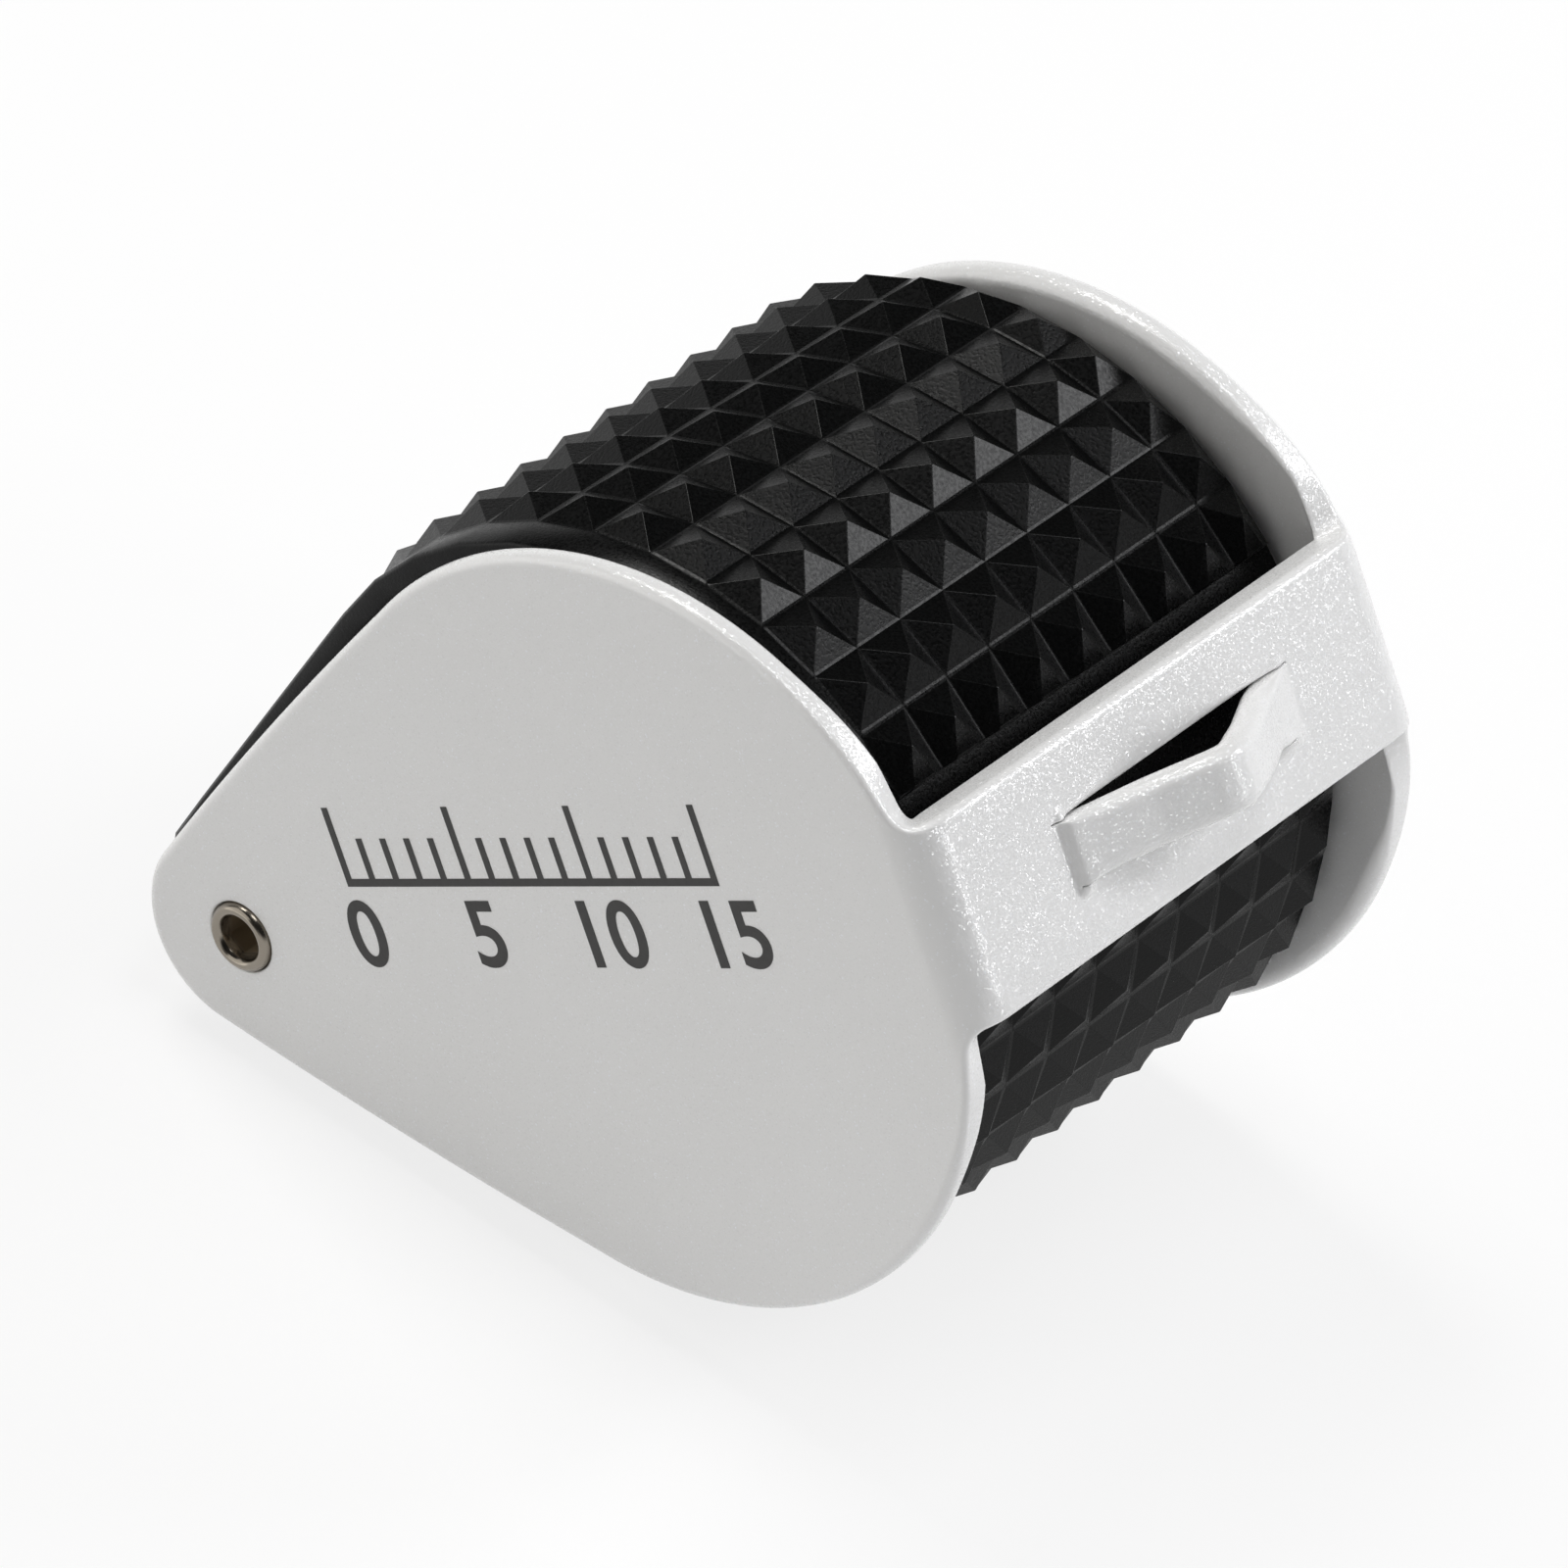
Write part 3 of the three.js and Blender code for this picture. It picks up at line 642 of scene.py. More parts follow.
def grip_place(run, lift, large=GRIP_RADIUS, small=GRIP_TIP_RADIUS):
    """Places on a teardrop by the share of the grip's length run from the nose over the upper
    side: round, straight flank, tip, and the same below as a mirror image."""
    run = run % (2 * GRIP_HALF_RUN)
    side = np.where(run > GRIP_HALF_RUN, -1, 1)
    length = np.where(run > GRIP_HALF_RUN, 2 * GRIP_HALF_RUN - run, run)
    slide = 1 - np.clip(length - ROUND_RUN, 0, FLANK_RUN) / FLANK_RUN
    tip_angle = FLANK_TURN + (length - ROUND_RUN - FLANK_RUN) / GRIP_TIP_RADIUS
    angle = np.where(length <= ROUND_RUN, length / GRIP_RADIUS,
                     np.where(length <= ROUND_RUN + FLANK_RUN, FLANK_TURN, tip_angle))
    radius = small + (large - small) * slide + lift
    return LENS_GAP * slide + radius * np.cos(angle), side * radius * np.sin(angle)


def grip_mesh():
    """The sleeve's rings of points: the base outline at each bump line, a blunt tip over each
    cell, a smooth front band, flat ends and the plain bore. Under the strap the rows give way
    to a shallow smooth channel, and the bumps beside it are cut off upright at its edge. Also
    gives each point's rounding (full in the valleys, slight on ridges) and how many of the
    faces, counted from the first, are smooth."""
    pitch = 2 * GRIP_HALF_RUN / BUMP_ROWS
    bump_lines = GRIP_FRONT + FRONT_BAND + BUMP_PITCH * np.arange(BUMP_COLUMNS)
    lines = np.concatenate([[GRIP_FRONT + GRIP_EDGE], bump_lines, [GRIP_BACK]])
    cells = BUMP_ROWS - STRAP_ROWS
    valleys = (STRAP_ROWS / 2 + np.arange(cells + 1)) * pitch
    channel = np.linspace(valleys[-1] + CHANNEL_STEP, valleys[0] + 2 * GRIP_HALF_RUN - CHANNEL_STEP,
                          CHANNEL_LINES)
    runs = np.concatenate([valleys, channel])
    lifts = np.concatenate([0 * valleys, 0 * channel - CHANNEL_DEPTH])
    u, w = grip_place(runs, lifts)
    low_u, low_w = grip_place(runs, lifts - GRIP_EDGE)
    bore_u, bore_w = grip_place(runs, 0.0, SLEEVE_RADIUS, SLEEVE_TIP_RADIUS)
    shell = placed(u[:, None], lines, w[:, None])
    bore = placed(bore_u[:, None], (GRIP_FRONT, GRIP_BACK), bore_w[:, None])
    rim = placed(low_u[:, None], GRIP_FRONT, low_w[:, None])
    body = np.concatenate([bore[:, :1], rim, shell, bore[:, 1:]], axis=1)
    rows, columns = body.shape[:2]
    quads = grid_faces(rows, columns, wrap_rows=True, wrap_columns=True).reshape(rows, columns, 4)
    first, last = 3, columns - 2
    faces = np.concatenate([quads[:, :first], quads[:, last:]], axis=1).reshape(-1, 4).tolist()
    smooth = len(faces)
    faces += quads[cells:, first:last].reshape(-1, 4).tolist()

    top_u, top_w = grip_place((valleys[:-1] + valleys[1:]) / 2, BUMP_HEIGHT)
    tops = placed(top_u[:, None], (lines[1:-1] + lines[2:]) / 2, top_w[:, None])[:, :, None]
    base = shell[:cells + 1, 1:]
    corners = np.stack([base[:-1, :-1], base[:-1, 1:], base[1:, 1:], base[1:, :-1]], axis=2)
    tips = tops + BUMP_TIP * (corners - tops)
    tip = rows * columns + np.arange(tips.size // 3).reshape(cells, BUMP_COLUMNS, 4)
    around = quads[:cells, first:last]
    points = [body.reshape(-1, 3), tips.reshape(-1, 3)]
    next_point = rows * columns + tips.size // 3
    for side in range(4):
        ahead = (side + 1) % 4
        quad = np.stack([around[:, :, side], around[:, :, ahead], tip[:, :, ahead],
                         tip[:, :, side]], axis=-1)
        if side in CUT_ROWS:
            cut = CUT_ROWS[side]
            start, end, tip_end, tip_start = quad[cut].T
            ledge_u, ledge_w = grip_place(valleys[cut], LEDGE_HEIGHT)
            shares = np.array(LEDGE_SHARES if side == 0 else LEDGE_SHARES[::-1])
            depths = lines[1:-1, None] + shares * np.diff(lines[1:])[:, None]
            points.append(placed(ledge_u, depths, ledge_w).reshape(-1, 3))
            near, far = next_point + np.arange(2 * BUMP_COLUMNS).reshape(-1, 2).T
            next_point += 2 * BUMP_COLUMNS
            for face in ((start, end, far, near), (near, far, tip_end, tip_start),
                         (start, near, tip_start), (far, end, tip_end)):
                faces += np.stack(face, axis=-1).tolist()
            quad = np.delete(quad, cut, axis=0)
        faces += quad.reshape(-1, 4).tolist()
    faces += tip.reshape(-1, 4).tolist()

    rounding = np.full(next_point, RIDGE_SHARE)
    rounding[-4 * BUMP_COLUMNS:] = 1.0
    valley = np.zeros((rows, columns))
    valley[:cells + 1, first:last + 1] = CHANNEL_SHARE
    valley[1:cells, first:last + 1] = 1.0
    rounding[:rows * columns] = valley.ravel()
    return np.vstack(points), faces, rounding, smooth


# Printed millimetre scale on the front plate: ticks and plain numbers

SCALE_START = 6.0
SCALE_BASE = 1.9
SCALE_LENGTH = 15
SHORT_TICK = 1.3
LONG_TICK = 2.3
LONG_TICK_EVERY = 5
TICK_WIDTH = 0.25
NUMBER_HEIGHT = 2.1
NUMBER_TOP = 1.2
NUMBER_WEIGHT = 0.04
FIGURE_SHARE = 0.7
INK_THICKNESS = 0.012
INK_SHARE = 0.8


def number_outline(text):
    """The flat mesh of a printed number, centred on its width: corners as [across, up] pairs."""
    curve = bpy.data.curves.new("number_" + text, "FONT")
    curve.body = text
    curve.align_x = "CENTER"
    curve.size = NUMBER_HEIGHT / FIGURE_SHARE
    curve.offset = NUMBER_WEIGHT
    maker = bpy.data.objects.new("number_" + text, curve)
    bpy.context.scene.collection.objects.link(maker)
    bpy.context.view_layer.update()
    drawn = maker.evaluated_get(bpy.context.evaluated_depsgraph_get())
    mesh = bpy.data.meshes.new_from_object(drawn)
    corners = np.zeros(len(mesh.vertices) * 3)
    mesh.vertices.foreach_get("co", corners)
    faces = [list(polygon.vertices) for polygon in mesh.polygons]
    bpy.data.objects.remove(maker)
    bpy.data.curves.remove(curve)
    bpy.data.meshes.remove(mesh)
    return corners.reshape(-1, 3)[:, :2], faces


def scale_mesh():
    """Ticks one millimetre apart on a base line, longer at every fifth, with a number under
    each long one, all lifted off the plate by the thickness of the ink."""
    points, faces = [], []
    ticks = np.arange(SCALE_LENGTH + 1)
    tops = SCALE_BASE + np.where(ticks % LONG_TICK_EVERY == 0, LONG_TICK, SHORT_TICK)
    half = TICK_WIDTH / 2
    bars = [(SCALE_START + tick - half, SCALE_BASE, SCALE_START + tick + half, top)
            for tick, top in zip(ticks, tops)]
    bars.append((SCALE_START - half, SCALE_BASE - TICK_WIDTH, SCALE_START + SCALE_LENGTH + half,
                 SCALE_BASE))
    first = 0
    for left, low, right, high in bars:
        points += [(left, low), (right, low), (right, high), (left, high)]
        faces.append([first, first + 1, first + 2, first + 3])
        first += 4
    for tick in ticks[::LONG_TICK_EVERY]:
        outline, number_faces = number_outline(str(tick))
        spots = outline + (SCALE_START + tick, NUMBER_TOP - NUMBER_HEIGHT)
        points += spots.tolist()
        faces += [[first + corner for corner in face] for face in number_faces]
        first += len(spots)
    flat = np.array(points)
    return placed(flat[:, 0], -INK_THICKNESS, flat[:, 1]), faces


# Materials

TURNING_BREAKS = 1500.0


def node(tree, kind, inputs=None, **settings):
    """A shader node with its settings, and its inputs set to values or linked to outputs."""
    made = tree.nodes.new("ShaderNode" + kind)
    for name, value in settings.items():
        setattr(made, name, value)
    for name, value in (inputs or {}).items():
        if isinstance(value, bpy.types.NodeSocket):
            tree.links.new(value, made.inputs[name])
        else:
            made.inputs[name].default_value = value
    return made


def value_group(name, inputs, outputs):
    """A new shader group whose inputs and outputs are numbers."""
    group = bpy.data.node_groups.new(name, "ShaderNodeTree")
    for labels, way in ((inputs, "INPUT"), (outputs, "OUTPUT")):
        for label in labels:
            group.interface.new_socket(label, in_out=way, socket_type="NodeSocketFloat")
    return group, group.nodes.new("NodeGroupInput"), group.nodes.new("NodeGroupOutput")


def math_node(tree, operation, *values, kind="Math"):
    """The output of a math node on the given values or outputs."""
    return node(tree, kind, dict(enumerate(values)), operation=operation).outputs[0]


def vector_node(tree, operation, *values):
    """The output of a vector math node on the given vectors or outputs."""
    return math_node(tree, operation, *values, kind="VectorMath")


def grain_group():
    """Two layers of noise in real size: a fine grain and a slow cloud, both from 0 to 1."""
    group, given, result = value_group("grain", ("Grain Size", "Cloud Size"), ("Grain", "Cloud"))
    spot = node(group, "TexCoord").outputs["Object"]
    for label, detail in (("Grain", 2.0), ("Cloud", 3.0)):
        scale = math_node(group, "DIVIDE", 1 / MM, given.outputs[label + " Size"])
        noise = node(group, "TexNoise", {"Vector": spot, "Scale": scale, "Detail": detail})
        group.links.new(noise.outputs["Fac"], result.inputs[label])
    return group


def turning_group():
    """Fine rings round an axis along Y, as a lathe leaves them: a wave of the distance from the
    axis, broken up by noise."""
    group, given, result = value_group(
        "turning_marks", ("Axis X", "Axis Z", "Pitch"), ("Height",))
    spot = node(group, "TexCoord").outputs["Object"]
    parts = node(group, "SeparateXYZ", {0: spot})
    squares = []
    for label in ("X", "Z"):
        away = math_node(group, "SUBTRACT", parts.outputs[label], given.outputs["Axis " + label])
        squares.append(math_node(group, "POWER", away, 2.0))
    distance = math_node(group, "SQRT", math_node(group, "ADD", *squares))
    pitch = math_node(group, "MULTIPLY", given.outputs["Pitch"], MM / math.tau)
    wave = math_node(group, "SINE", math_node(group, "DIVIDE", distance, pitch))
    noise = node(group, "TexNoise", {"Vector": spot, "Scale": TURNING_BREAKS, "Detail": 2.0})
    height = math_node(group, "MULTIPLY", wave, noise.outputs["Fac"])
    group.links.new(height, result.inputs["Height"])
    return group


GRAIN = grain_group()
TURNING = turning_group()


def finish(name, grain_size, cloud_size, shades=None, **inputs):
    """A new material with a Principled surface and its plain inputs set, the grain group in
    sizes in millimetres, and the cloud as the colour where two shades are given."""
    material = bpy.data.materials.new(name)
    material.use_nodes = True
    tree = material.node_tree
    surface = tree.nodes["Principled BSDF"]
    for label, value in inputs.items():
        surface.inputs[label.replace("_", " ")].default_value = value
    grain = node(tree, "Group", {"Grain Size": grain_size, "Cloud Size": cloud_size},
                 node_tree=GRAIN)
    if shades:
        colour = two_colours(tree, grain.outputs["Cloud"], *shades)
        tree.links.new(colour, surface.inputs["Base Color"])
    return material, tree, surface, grain


def span(tree, value, low, high, start=0.25, end=0.75):
    """A value between two results as the given one goes from start to end."""
    made = node(tree, "MapRange", {"Value": value, "From Min": start, "From Max": end,
                                   "To Min": low, "To Max": high})
    return made.outputs["Result"]


def two_colours(tree, factor, first, second):
    """A colour between two, each a colour or an output, as the factor goes from 0 to 1."""
    made = node(tree, "Mix", {"Factor": factor, 6: first, 7: second}, data_type="RGBA")
    return made.outputs[2]


def bump(tree, surface, height, depth, strength=1.0):
    """A bump of a real depth in millimetres on a surface's normal."""
    made = node(tree, "Bump", {"Height": height, "Strength": strength, "Distance": depth * MM})
    tree.links.new(made.outputs["Normal"], surface.inputs["Normal"])


def uneven_gloss(tree, surface, value, roughness):
    """A roughness that goes a little to both sides of the given one with a value."""
    rough = span(tree, value, roughness - GLOSSIER, roughness + DULLER)
    tree.links.new(rough, surface.inputs["Roughness"])


# Shades of the finishes
PAINT_SHADES = ((0.765, 0.762, 0.757, 1), (0.795, 0.793, 0.788, 1))
# Painted glints: the paler colour that a few pearl flakes get in place of their sparkle
PAINTED_GLINT_WHITE = (0.88, 0.89, 0.92, 1)
RUBBER_SHADES = ((0.0012, 0.0013, 0.0013, 1), (0.0024, 0.0025, 0.0025, 1))
INK_SHADES = ((0.012, 0.011, 0.010, 1), (0.02, 0.018, 0.017, 1))
NICKEL_SHADES = ((0.23, 0.205, 0.17, 1), (0.30, 0.27, 0.23, 1))
# The dull brown inside the screw's socket: painted shade in its recess, and dirt
SOCKET_SHADE_AND_DIRT = (0.22, 0.17, 0.11, 1)
STEEL_SHADES = ((0.38, 0.39, 0.40, 1), (0.45, 0.46, 0.47, 1))
BRONZE_SHADES = ((0.50, 0.33, 0.13, 1), (0.58, 0.40, 0.18, 1))
WASHER_SHADES = ((0.76, 0.74, 0.68, 1), (0.82, 0.80, 0.74, 1))
PLASTIC_SHADES = ((0.014, 0.014, 0.014, 1), (0.022, 0.022, 0.022, 1))
BRASS_SHADES = ((0.02, 0.019, 0.018, 1), (0.04, 0.036, 0.032, 1))
FLOOR_SHADES = ((0.90, 0.90, 0.90, 1), (0.92, 0.92, 0.92, 1))

# Pearl flakes: how wide they are, how far they lean, and the share above which one is painted paler as
# a glint
FLAKE_SIZE = 0.045
FLAKE_LEAN = 2.9
PAINTED_GLINT_SHARE = 0.96

# Gloss: how far it goes to both sides of a finish's own, and what dust and dirt make of it
GLOSSIER = 0.06
DULLER = 0.08
RUBBER_ROUGHNESS = (0.2, 0.38)
NICKEL_ROUGHNESS = 0.22
DIRT_ROUGHNESS = 0.4
DIRT_METALLIC = 0.3
DUSTY_GLASS = 0.03
DUSTY_SPAN = (0.5, 0.9)


def pearl_paint():
    """Satin white paint under a clear coat full of pearl flakes: each flake is a small cell of
    the coat with a lean of its own (the cube of a random share, so most lie flat and a few lean
    far), which glints where it meets a lamp, and a few are painted paler than the paint as glints."""
    material, tree, surface, grain = finish(
        "pearl_paint", 0.3, 6.0, PAINT_SHADES, Roughness=0.36, Specular_IOR_Level=0.4,
        Coat_Weight=0.6, Coat_Roughness=0.1, Coat_IOR=1.8)
    spot = node(tree, "TexCoord").outputs["Object"]
    cells = node(tree, "TexVoronoi", {"Vector": spot, "Scale": 1 / (FLAKE_SIZE * MM)})
    shade = node(tree, "SeparateColor", {0: cells.outputs["Color"]}).outputs[0]
    # Painted glints: a few flakes take a paler colour as their sparkle
    painted_glint = span(tree, shade, 0.0, 1.0, PAINTED_GLINT_SHARE, 1.0)
    paint = surface.inputs["Base Color"].links[0].from_socket
    tree.links.new(two_colours(tree, painted_glint, paint, PAINTED_GLINT_WHITE), surface.inputs["Base Color"])
    lean = vector_node(tree, "SUBTRACT", cells.outputs["Color"], (0.5, 0.5, 0.5))
    cube = vector_node(tree, "MULTIPLY", vector_node(tree, "MULTIPLY", lean, lean), lean)
    leaned = vector_node(tree, "MULTIPLY", cube, (FLAKE_LEAN, FLAKE_LEAN, FLAKE_LEAN))
    normal = node(tree, "NewGeometry").outputs["Normal"]
    glinting = vector_node(tree, "NORMALIZE", vector_node(tree, "ADD", normal, leaned))
    tree.links.new(glinting, surface.inputs["Coat Normal"])
    bump(tree, surface, grain.outputs["Grain"], depth=0.006, strength=0.5)
    return material


def black_rubber():
    """Matt black rubber with a fine moulded grain and faint dust in a slow cloud."""
    material, tree, surface, grain = finish(
        "black_rubber", 0.1, 3.0, RUBBER_SHADES, Specular_IOR_Level=0.14)
    rough = span(tree, grain.outputs["Grain"], *RUBBER_ROUGHNESS)
    tree.links.new(rough, surface.inputs["Roughness"])
    bump(tree, surface, grain.outputs["Grain"], depth=0.009, strength=0.7)
    return material


def grained(name, shades, roughness, size=0.1):
    """A finish of two close shades in a slow cloud, with a fine grain in gloss and height."""
    material, tree, surface, grain = finish(name, size, 4.0, shades)
    uneven_gloss(tree, surface, grain.outputs["Grain"], roughness)
    bump(tree, surface, grain.outputs["Grain"], depth=0.004)
    return material


def turned_metal(name, shades, roughness, axis_u=PIVOT_INSET, pitch=0.07, metallic=1.0):
    """Lathe-turned metal: two close shades in a slow cloud, with fine rings round its axis."""
    material, tree, surface, grain = finish(name, 0.05, 1.5, shades, Metallic=metallic)
    uneven_gloss(tree, surface, grain.outputs["Cloud"], roughness)
    x, _, z = placed(axis_u, 0.0, 0.0).tolist()
    rings = node(tree, "Group", {"Axis X": x, "Axis Z": z, "Pitch": pitch}, node_tree=TURNING)
    bump(tree, surface, rings.outputs["Height"], depth=0.0015)
    return material


def lens_glass(name, index, tint):
    """Clear glass with a trace of dust that dulls it in places."""
    material, tree, surface, grain = finish(
        name, 0.05, 2.5, Transmission_Weight=1.0, IOR=index, Base_Color=tint)
    rough = span(tree, grain.outputs["Cloud"], 0.0, DUSTY_GLASS, *DUSTY_SPAN)
    tree.links.new(rough, surface.inputs["Roughness"])
    return material


def screw_metal():
    """Nickel that turns to a dull brown deeper in the socket: a painted shade of its recess, and dirt.
    """
    material = turned_metal("screw_nickel", NICKEL_SHADES, NICKEL_ROUGHNESS)
    tree = material.node_tree
    surface = tree.nodes["Principled BSDF"]
    nickel = surface.inputs["Base Color"].links[0].from_socket
    polished = surface.inputs["Roughness"].links[0].from_socket
    # Painted shade and dirt: deeper in the socket the nickel turns to a dull brown, rougher and less
    # metallic
    depth = node(tree, "SeparateXYZ", {0: node(tree, "TexCoord").outputs["Object"]}).outputs["Y"]
    shade_start, shade_end = (FRONT_Y + place * MM for place in SOCKET_SHADE)
    inside = span(tree, depth, 0.0, 1.0, shade_start, shade_end)
    tree.links.new(two_colours(tree, inside, nickel, SOCKET_SHADE_AND_DIRT), surface.inputs["Base Color"])
    dull = math_node(tree, "MULTIPLY", inside, DIRT_ROUGHNESS)
    tree.links.new(math_node(tree, "MAXIMUM", polished, dull), surface.inputs["Roughness"])
    metallic = span(tree, inside, 1.0, DIRT_METALLIC, 0.0, 1.0)
    tree.links.new(metallic, surface.inputs["Metallic"])
    return material


PAINT = pearl_paint()
RUBBER = black_rubber()
INK = grained("black_ink", INK_SHADES, 0.45, size=0.15)
NICKEL = turned_metal("nickel", NICKEL_SHADES, NICKEL_ROUGHNESS)
SCREW_METAL = screw_metal()
STEEL = turned_metal("spring_steel", STEEL_SHADES, 0.3)
BRONZE = turned_metal("bush_bronze", BRONZE_SHADES, 0.35)
WASHER = grained("washer_plastic", WASHER_SHADES, 0.5)
PLASTIC = grained("black_plastic", PLASTIC_SHADES, 0.45)
BRASS = turned_metal("black_brass", BRASS_SHADES, 0.4, LENS_GAP, pitch=0.12, metallic=0.6)
CROWN = lens_glass("crown_glass", 1.52, (0.99, 1.0, 0.995, 1))
FLINT = lens_glass("flint_glass", 1.62, (0.985, 0.995, 0.99, 1))


# Pieces of the cover

cover_sheet = make_piece("cover_sheet", *cover_mesh(), PAINT, "cover_body", "pearl_paint")
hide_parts("cover")

printed_scale = make_piece("printed_scale", *scale_mesh(), INK, "cover_body", smooth=False)
ink_body = printed_scale.modifiers.new("ink_body", "SOLIDIFY")
ink_body.thickness = INK_SHARE * INK_THICKNESS * MM
ink_body.offset = -1

screw = make_piece("hinge_screw", *screw_mesh(), SCREW_METAL, "cover_body", "nickel")
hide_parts("pivot_screw")

nut_profile = np.array([
    [SHANK_RADIUS + HOLE_GAP, COVER_DEPTH - SHEET], [NUT_RADIUS, COVER_DEPTH - SHEET],
    [NUT_RADIUS, COVER_DEPTH - NUT_RECESS], [SHANK_RADIUS + HOLE_GAP, COVER_DEPTH - NUT_RECESS],
])
nut_mesh = ring_mesh(rounded(nut_profile, NUT_EDGE), PIVOT_INSET)
nut = make_piece("hinge_nut", *nut_mesh, NICKEL, "cover_body", "nickel")
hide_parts("pivot_nut")


# Pieces of the lens body

grip_points, grip_faces, grip_rounding, smooth_count = grip_mesh()
grip = make_piece("grip_sleeve", grip_points, grip_faces, RUBBER, "lens_body", "black_rubber")
grip.data.polygons.foreach_set("use_smooth", np.arange(len(grip_faces)) < smooth_count)
edge_ends = np.zeros(2 * len(grip.data.edges), int)
grip.data.edges.foreach_get("vertices", edge_ends)
edge_rounding = grip_rounding[edge_ends.reshape(-1, 2)]
weights = grip.data.attributes.new("bevel_weight_edge", "FLOAT", "EDGE")
weights.data.foreach_set("value", np.clip(edge_rounding.sum(axis=1) - 1, 0, 1))
grip_edges = grip.modifiers.new("moulded_edges", "BEVEL")
grip_edges.width = VALLEY_ROUNDING * MM
grip_edges.segments = 2
grip_edges.limit_method = "WEIGHT"
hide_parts("rubber_grip")

for name, replaced, glass, surfaces in (
    ("crown_element", "crown_lens", CROWN, (-CROWN_HALF, CROWN_FACE, CROWN_HALF, -CROWN_FACE)),
    ("front_element", "front_flint_lens", FLINT,
     (-OPTIC_HALF, MENISCUS_FACE, -CROWN_HALF - CEMENT, CROWN_FACE)),
    ("rear_element", "rear_flint_lens", FLINT,
     (CROWN_HALF + CEMENT, -CROWN_FACE, OPTIC_HALF, -MENISCUS_FACE)),
):
    element = make_piece(name, *lens_mesh(*surfaces), glass, "lens_body", "lens_glass")
    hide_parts(replaced)

for name, replaced, way in (("front_ring", "front_lock_ring", -1), ("rear_ring", "rear_lock_ring", 1)):
    lock_ring = make_piece(name, *slotted_ring_mesh(way), BRASS, "lens_body", "black_brass",
                           smooth=False)
    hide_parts(replaced)

for name, material in (
    ("thrust_washer", WASHER), ("disc_spring", STEEL), ("front_bush", BRONZE),
    ("rear_bush", BRONZE), ("lens_housing", PLASTIC), ("lens_cell", BRASS),
    ("retaining_ring", BRASS),
):
    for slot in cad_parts[name].material_slots:
        slot.material = material


# Floor, light and camera

FLOOR_HALF = 0.6
FLOOR_LIFT = 0.8
WALL_TOP = 0.02
CEILING = 0.4
CEILING_LEVEL = 0.03
AMBIENT = 0.13

# Lamps: name, direction from the loupe's middle, distance, size, watts and tint
LAMP_TARGET = (0, 0, 0.0128)
COOL = (0.98, 0.985, 1.0)
LAMPS = (
    ("back_light", (0.423, 0.677, 0.60), 0.4, 0.15, 0.72, COOL),
    ("front_light", (-0.6, -0.7, 0.32), 0.5, 0.6, 1.37, (1.0, 0.99, 0.965)),
    ("top_light", (-0.5, 0.1, 0.85), 0.4, 0.14, 0.72, (1.0, 0.995, 0.98)),
    ("overhead_light", (0.13, -0.01, 0.99), 0.4, 0.12, 0.34, COOL),
    ("side_light", (0.9, 0.3, 0.32), 0.4, 0.12, 0.34, COOL),
)

# Camera: its place in millimetres and its axes, as fitted to the outlines, and its lens
EYE = (147.568, -229.431, 239.085)
FORWARD = Vector((-0.41594, 0.64592, -0.64014))
UPWARD = Vector((-0.49338, 0.43104, 0.75550))
FOCAL_LENGTH = 278.34
SENSOR_WIDTH = 36
CLIP_START = 0.01
CLIP_END = 10


def seen_directly(tree):
    """1 for camera, glossy and transmission rays, and 0 for the rays that carry soft light."""
    path = node(tree, "LightPath")
    mirrored = math_node(tree, "MAXIMUM", path.outputs["Is Glossy Ray"],
                         path.outputs["Is Transmission Ray"])
    return math_node(tree, "MAXIMUM", path.outputs["Is Camera Ray"], mirrored)


def pale_floor():
    """A pale matt floor that the camera sees lifted towards white, with its soft shadow."""
    material, tree, surface, _ = finish(
        "pale_floor", 1.0, 40.0, FLOOR_SHADES, Roughness=0.8, Specular_IOR_Level=0.1)
    seen = math_node(tree, "MULTIPLY", seen_directly(tree), FLOOR_LIFT)
    white = node(tree, "Emission", {"Color": (1, 1, 1, 1), "Strength": 1.0})
    mixed = node(tree, "MixShader", {0: seen, 1: surface.outputs[0], 2: white.outputs[0]})
    tree.links.new(mixed.outputs[0], tree.nodes["Material Output"].inputs["Surface"])
    return material


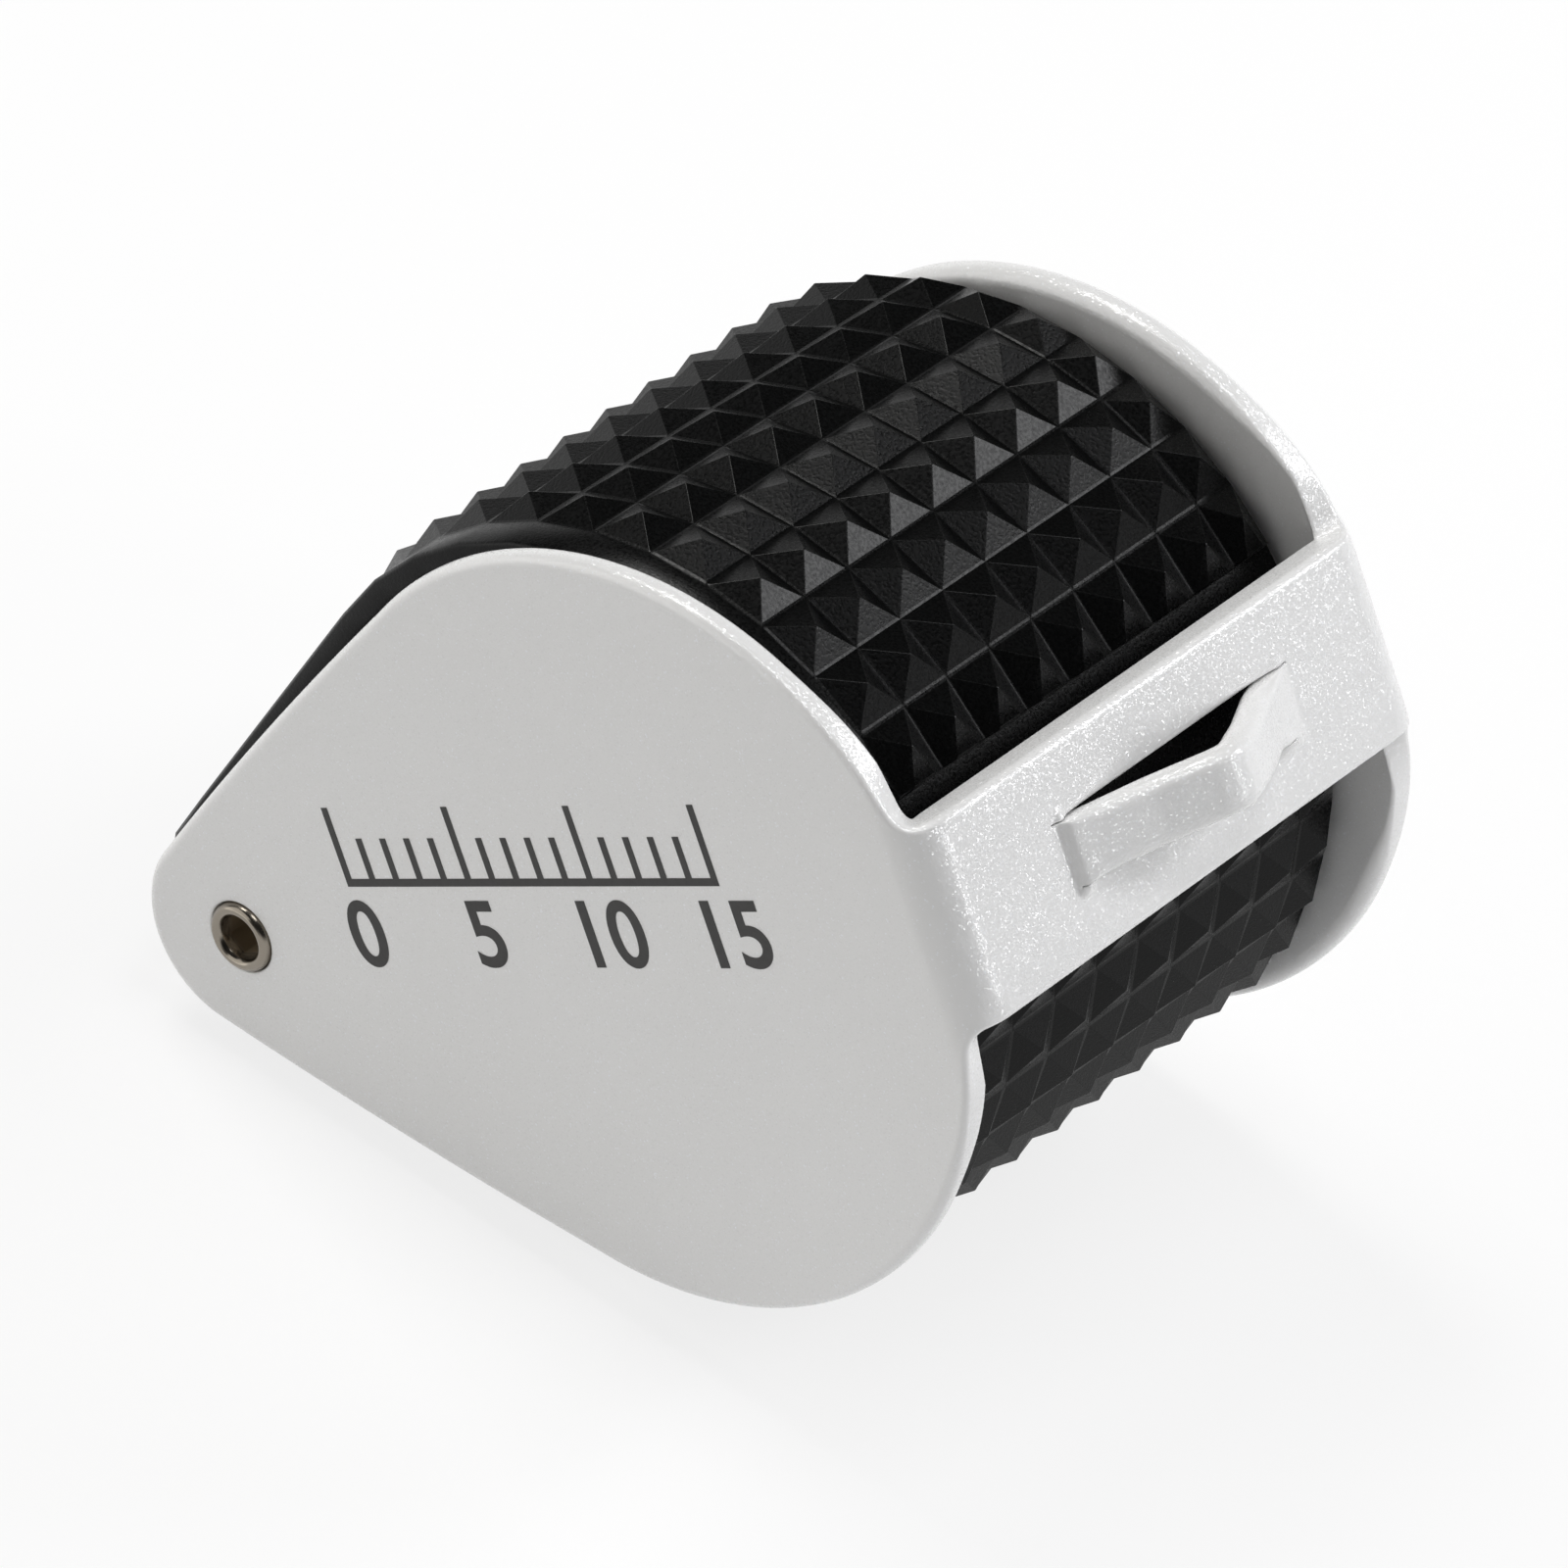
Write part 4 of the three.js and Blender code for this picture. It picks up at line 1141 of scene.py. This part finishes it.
floor_mesh = bpy.data.meshes.new("floor")
floor_corners = [(-1, -1, 0), (1, -1, 0), (1, 1, 0), (-1, 1, 0)]
floor_mesh.from_pydata([Vector(corner) * FLOOR_HALF for corner in floor_corners], [], [(0, 1, 2, 3)])
floor_mesh.materials.append(pale_floor())
floor = bpy.data.objects.new("floor", floor_mesh)
bpy.context.scene.collection.objects.link(floor)


def studio_world():
    """Pale walls: white at the floor's level, falling to a dim ceiling with height. The camera,
    metal and glass see them as they are, and they light the rest at the ambient level."""
    world = bpy.data.worlds.new("studio")
    world.use_nodes = True
    tree = world.node_tree
    spot = node(tree, "TexCoord").outputs["Generated"]
    height = node(tree, "SeparateXYZ", {0: spot}).outputs["Z"]
    fall = node(tree, "MapRange", {
        "Value": height, "From Min": WALL_TOP, "From Max": CEILING, "To Min": 1.0,
        "To Max": CEILING_LEVEL}, interpolation_type="SMOOTHSTEP")
    level = span(tree, seen_directly(tree), AMBIENT, 1.0, 0.0, 1.0)
    strength = math_node(tree, "MULTIPLY", fall.outputs["Result"], level)
    sky = tree.nodes["Background"]
    sky.inputs["Color"].default_value = (1, 1, 1, 1)
    tree.links.new(strength, sky.inputs["Strength"])
    return world


bpy.context.scene.world = studio_world()

for name, toward, distance, size, watts, tint in LAMPS:
    lamp = bpy.data.lights.new(name, "AREA")
    lamp.size = size
    lamp.energy = watts
    lamp.color = tint
    holder = bpy.data.objects.new(name, lamp)
    aim = Vector(toward).normalized()
    holder.location = Vector(LAMP_TARGET) + aim * distance
    holder.rotation_mode = "QUATERNION"
    holder.rotation_quaternion = aim.to_track_quat("Z", "Y")
    bpy.context.scene.collection.objects.link(holder)

camera_data = bpy.data.cameras.new("camera")
camera_data.lens = FOCAL_LENGTH
camera_data.sensor_width = SENSOR_WIDTH
camera_data.clip_start = CLIP_START
camera_data.clip_end = CLIP_END
camera = bpy.data.objects.new("camera", camera_data)
back = -FORWARD.normalized()
right = UPWARD.cross(back).normalized()
up = back.cross(right)
turned = Matrix((right, up, back)).transposed().to_4x4()
camera.matrix_world = Matrix.Translation(Vector(EYE) * MM) @ turned
bpy.context.scene.collection.objects.link(camera)
bpy.context.scene.camera = camera
bpy.context.scene.view_settings.view_transform = "Standard"
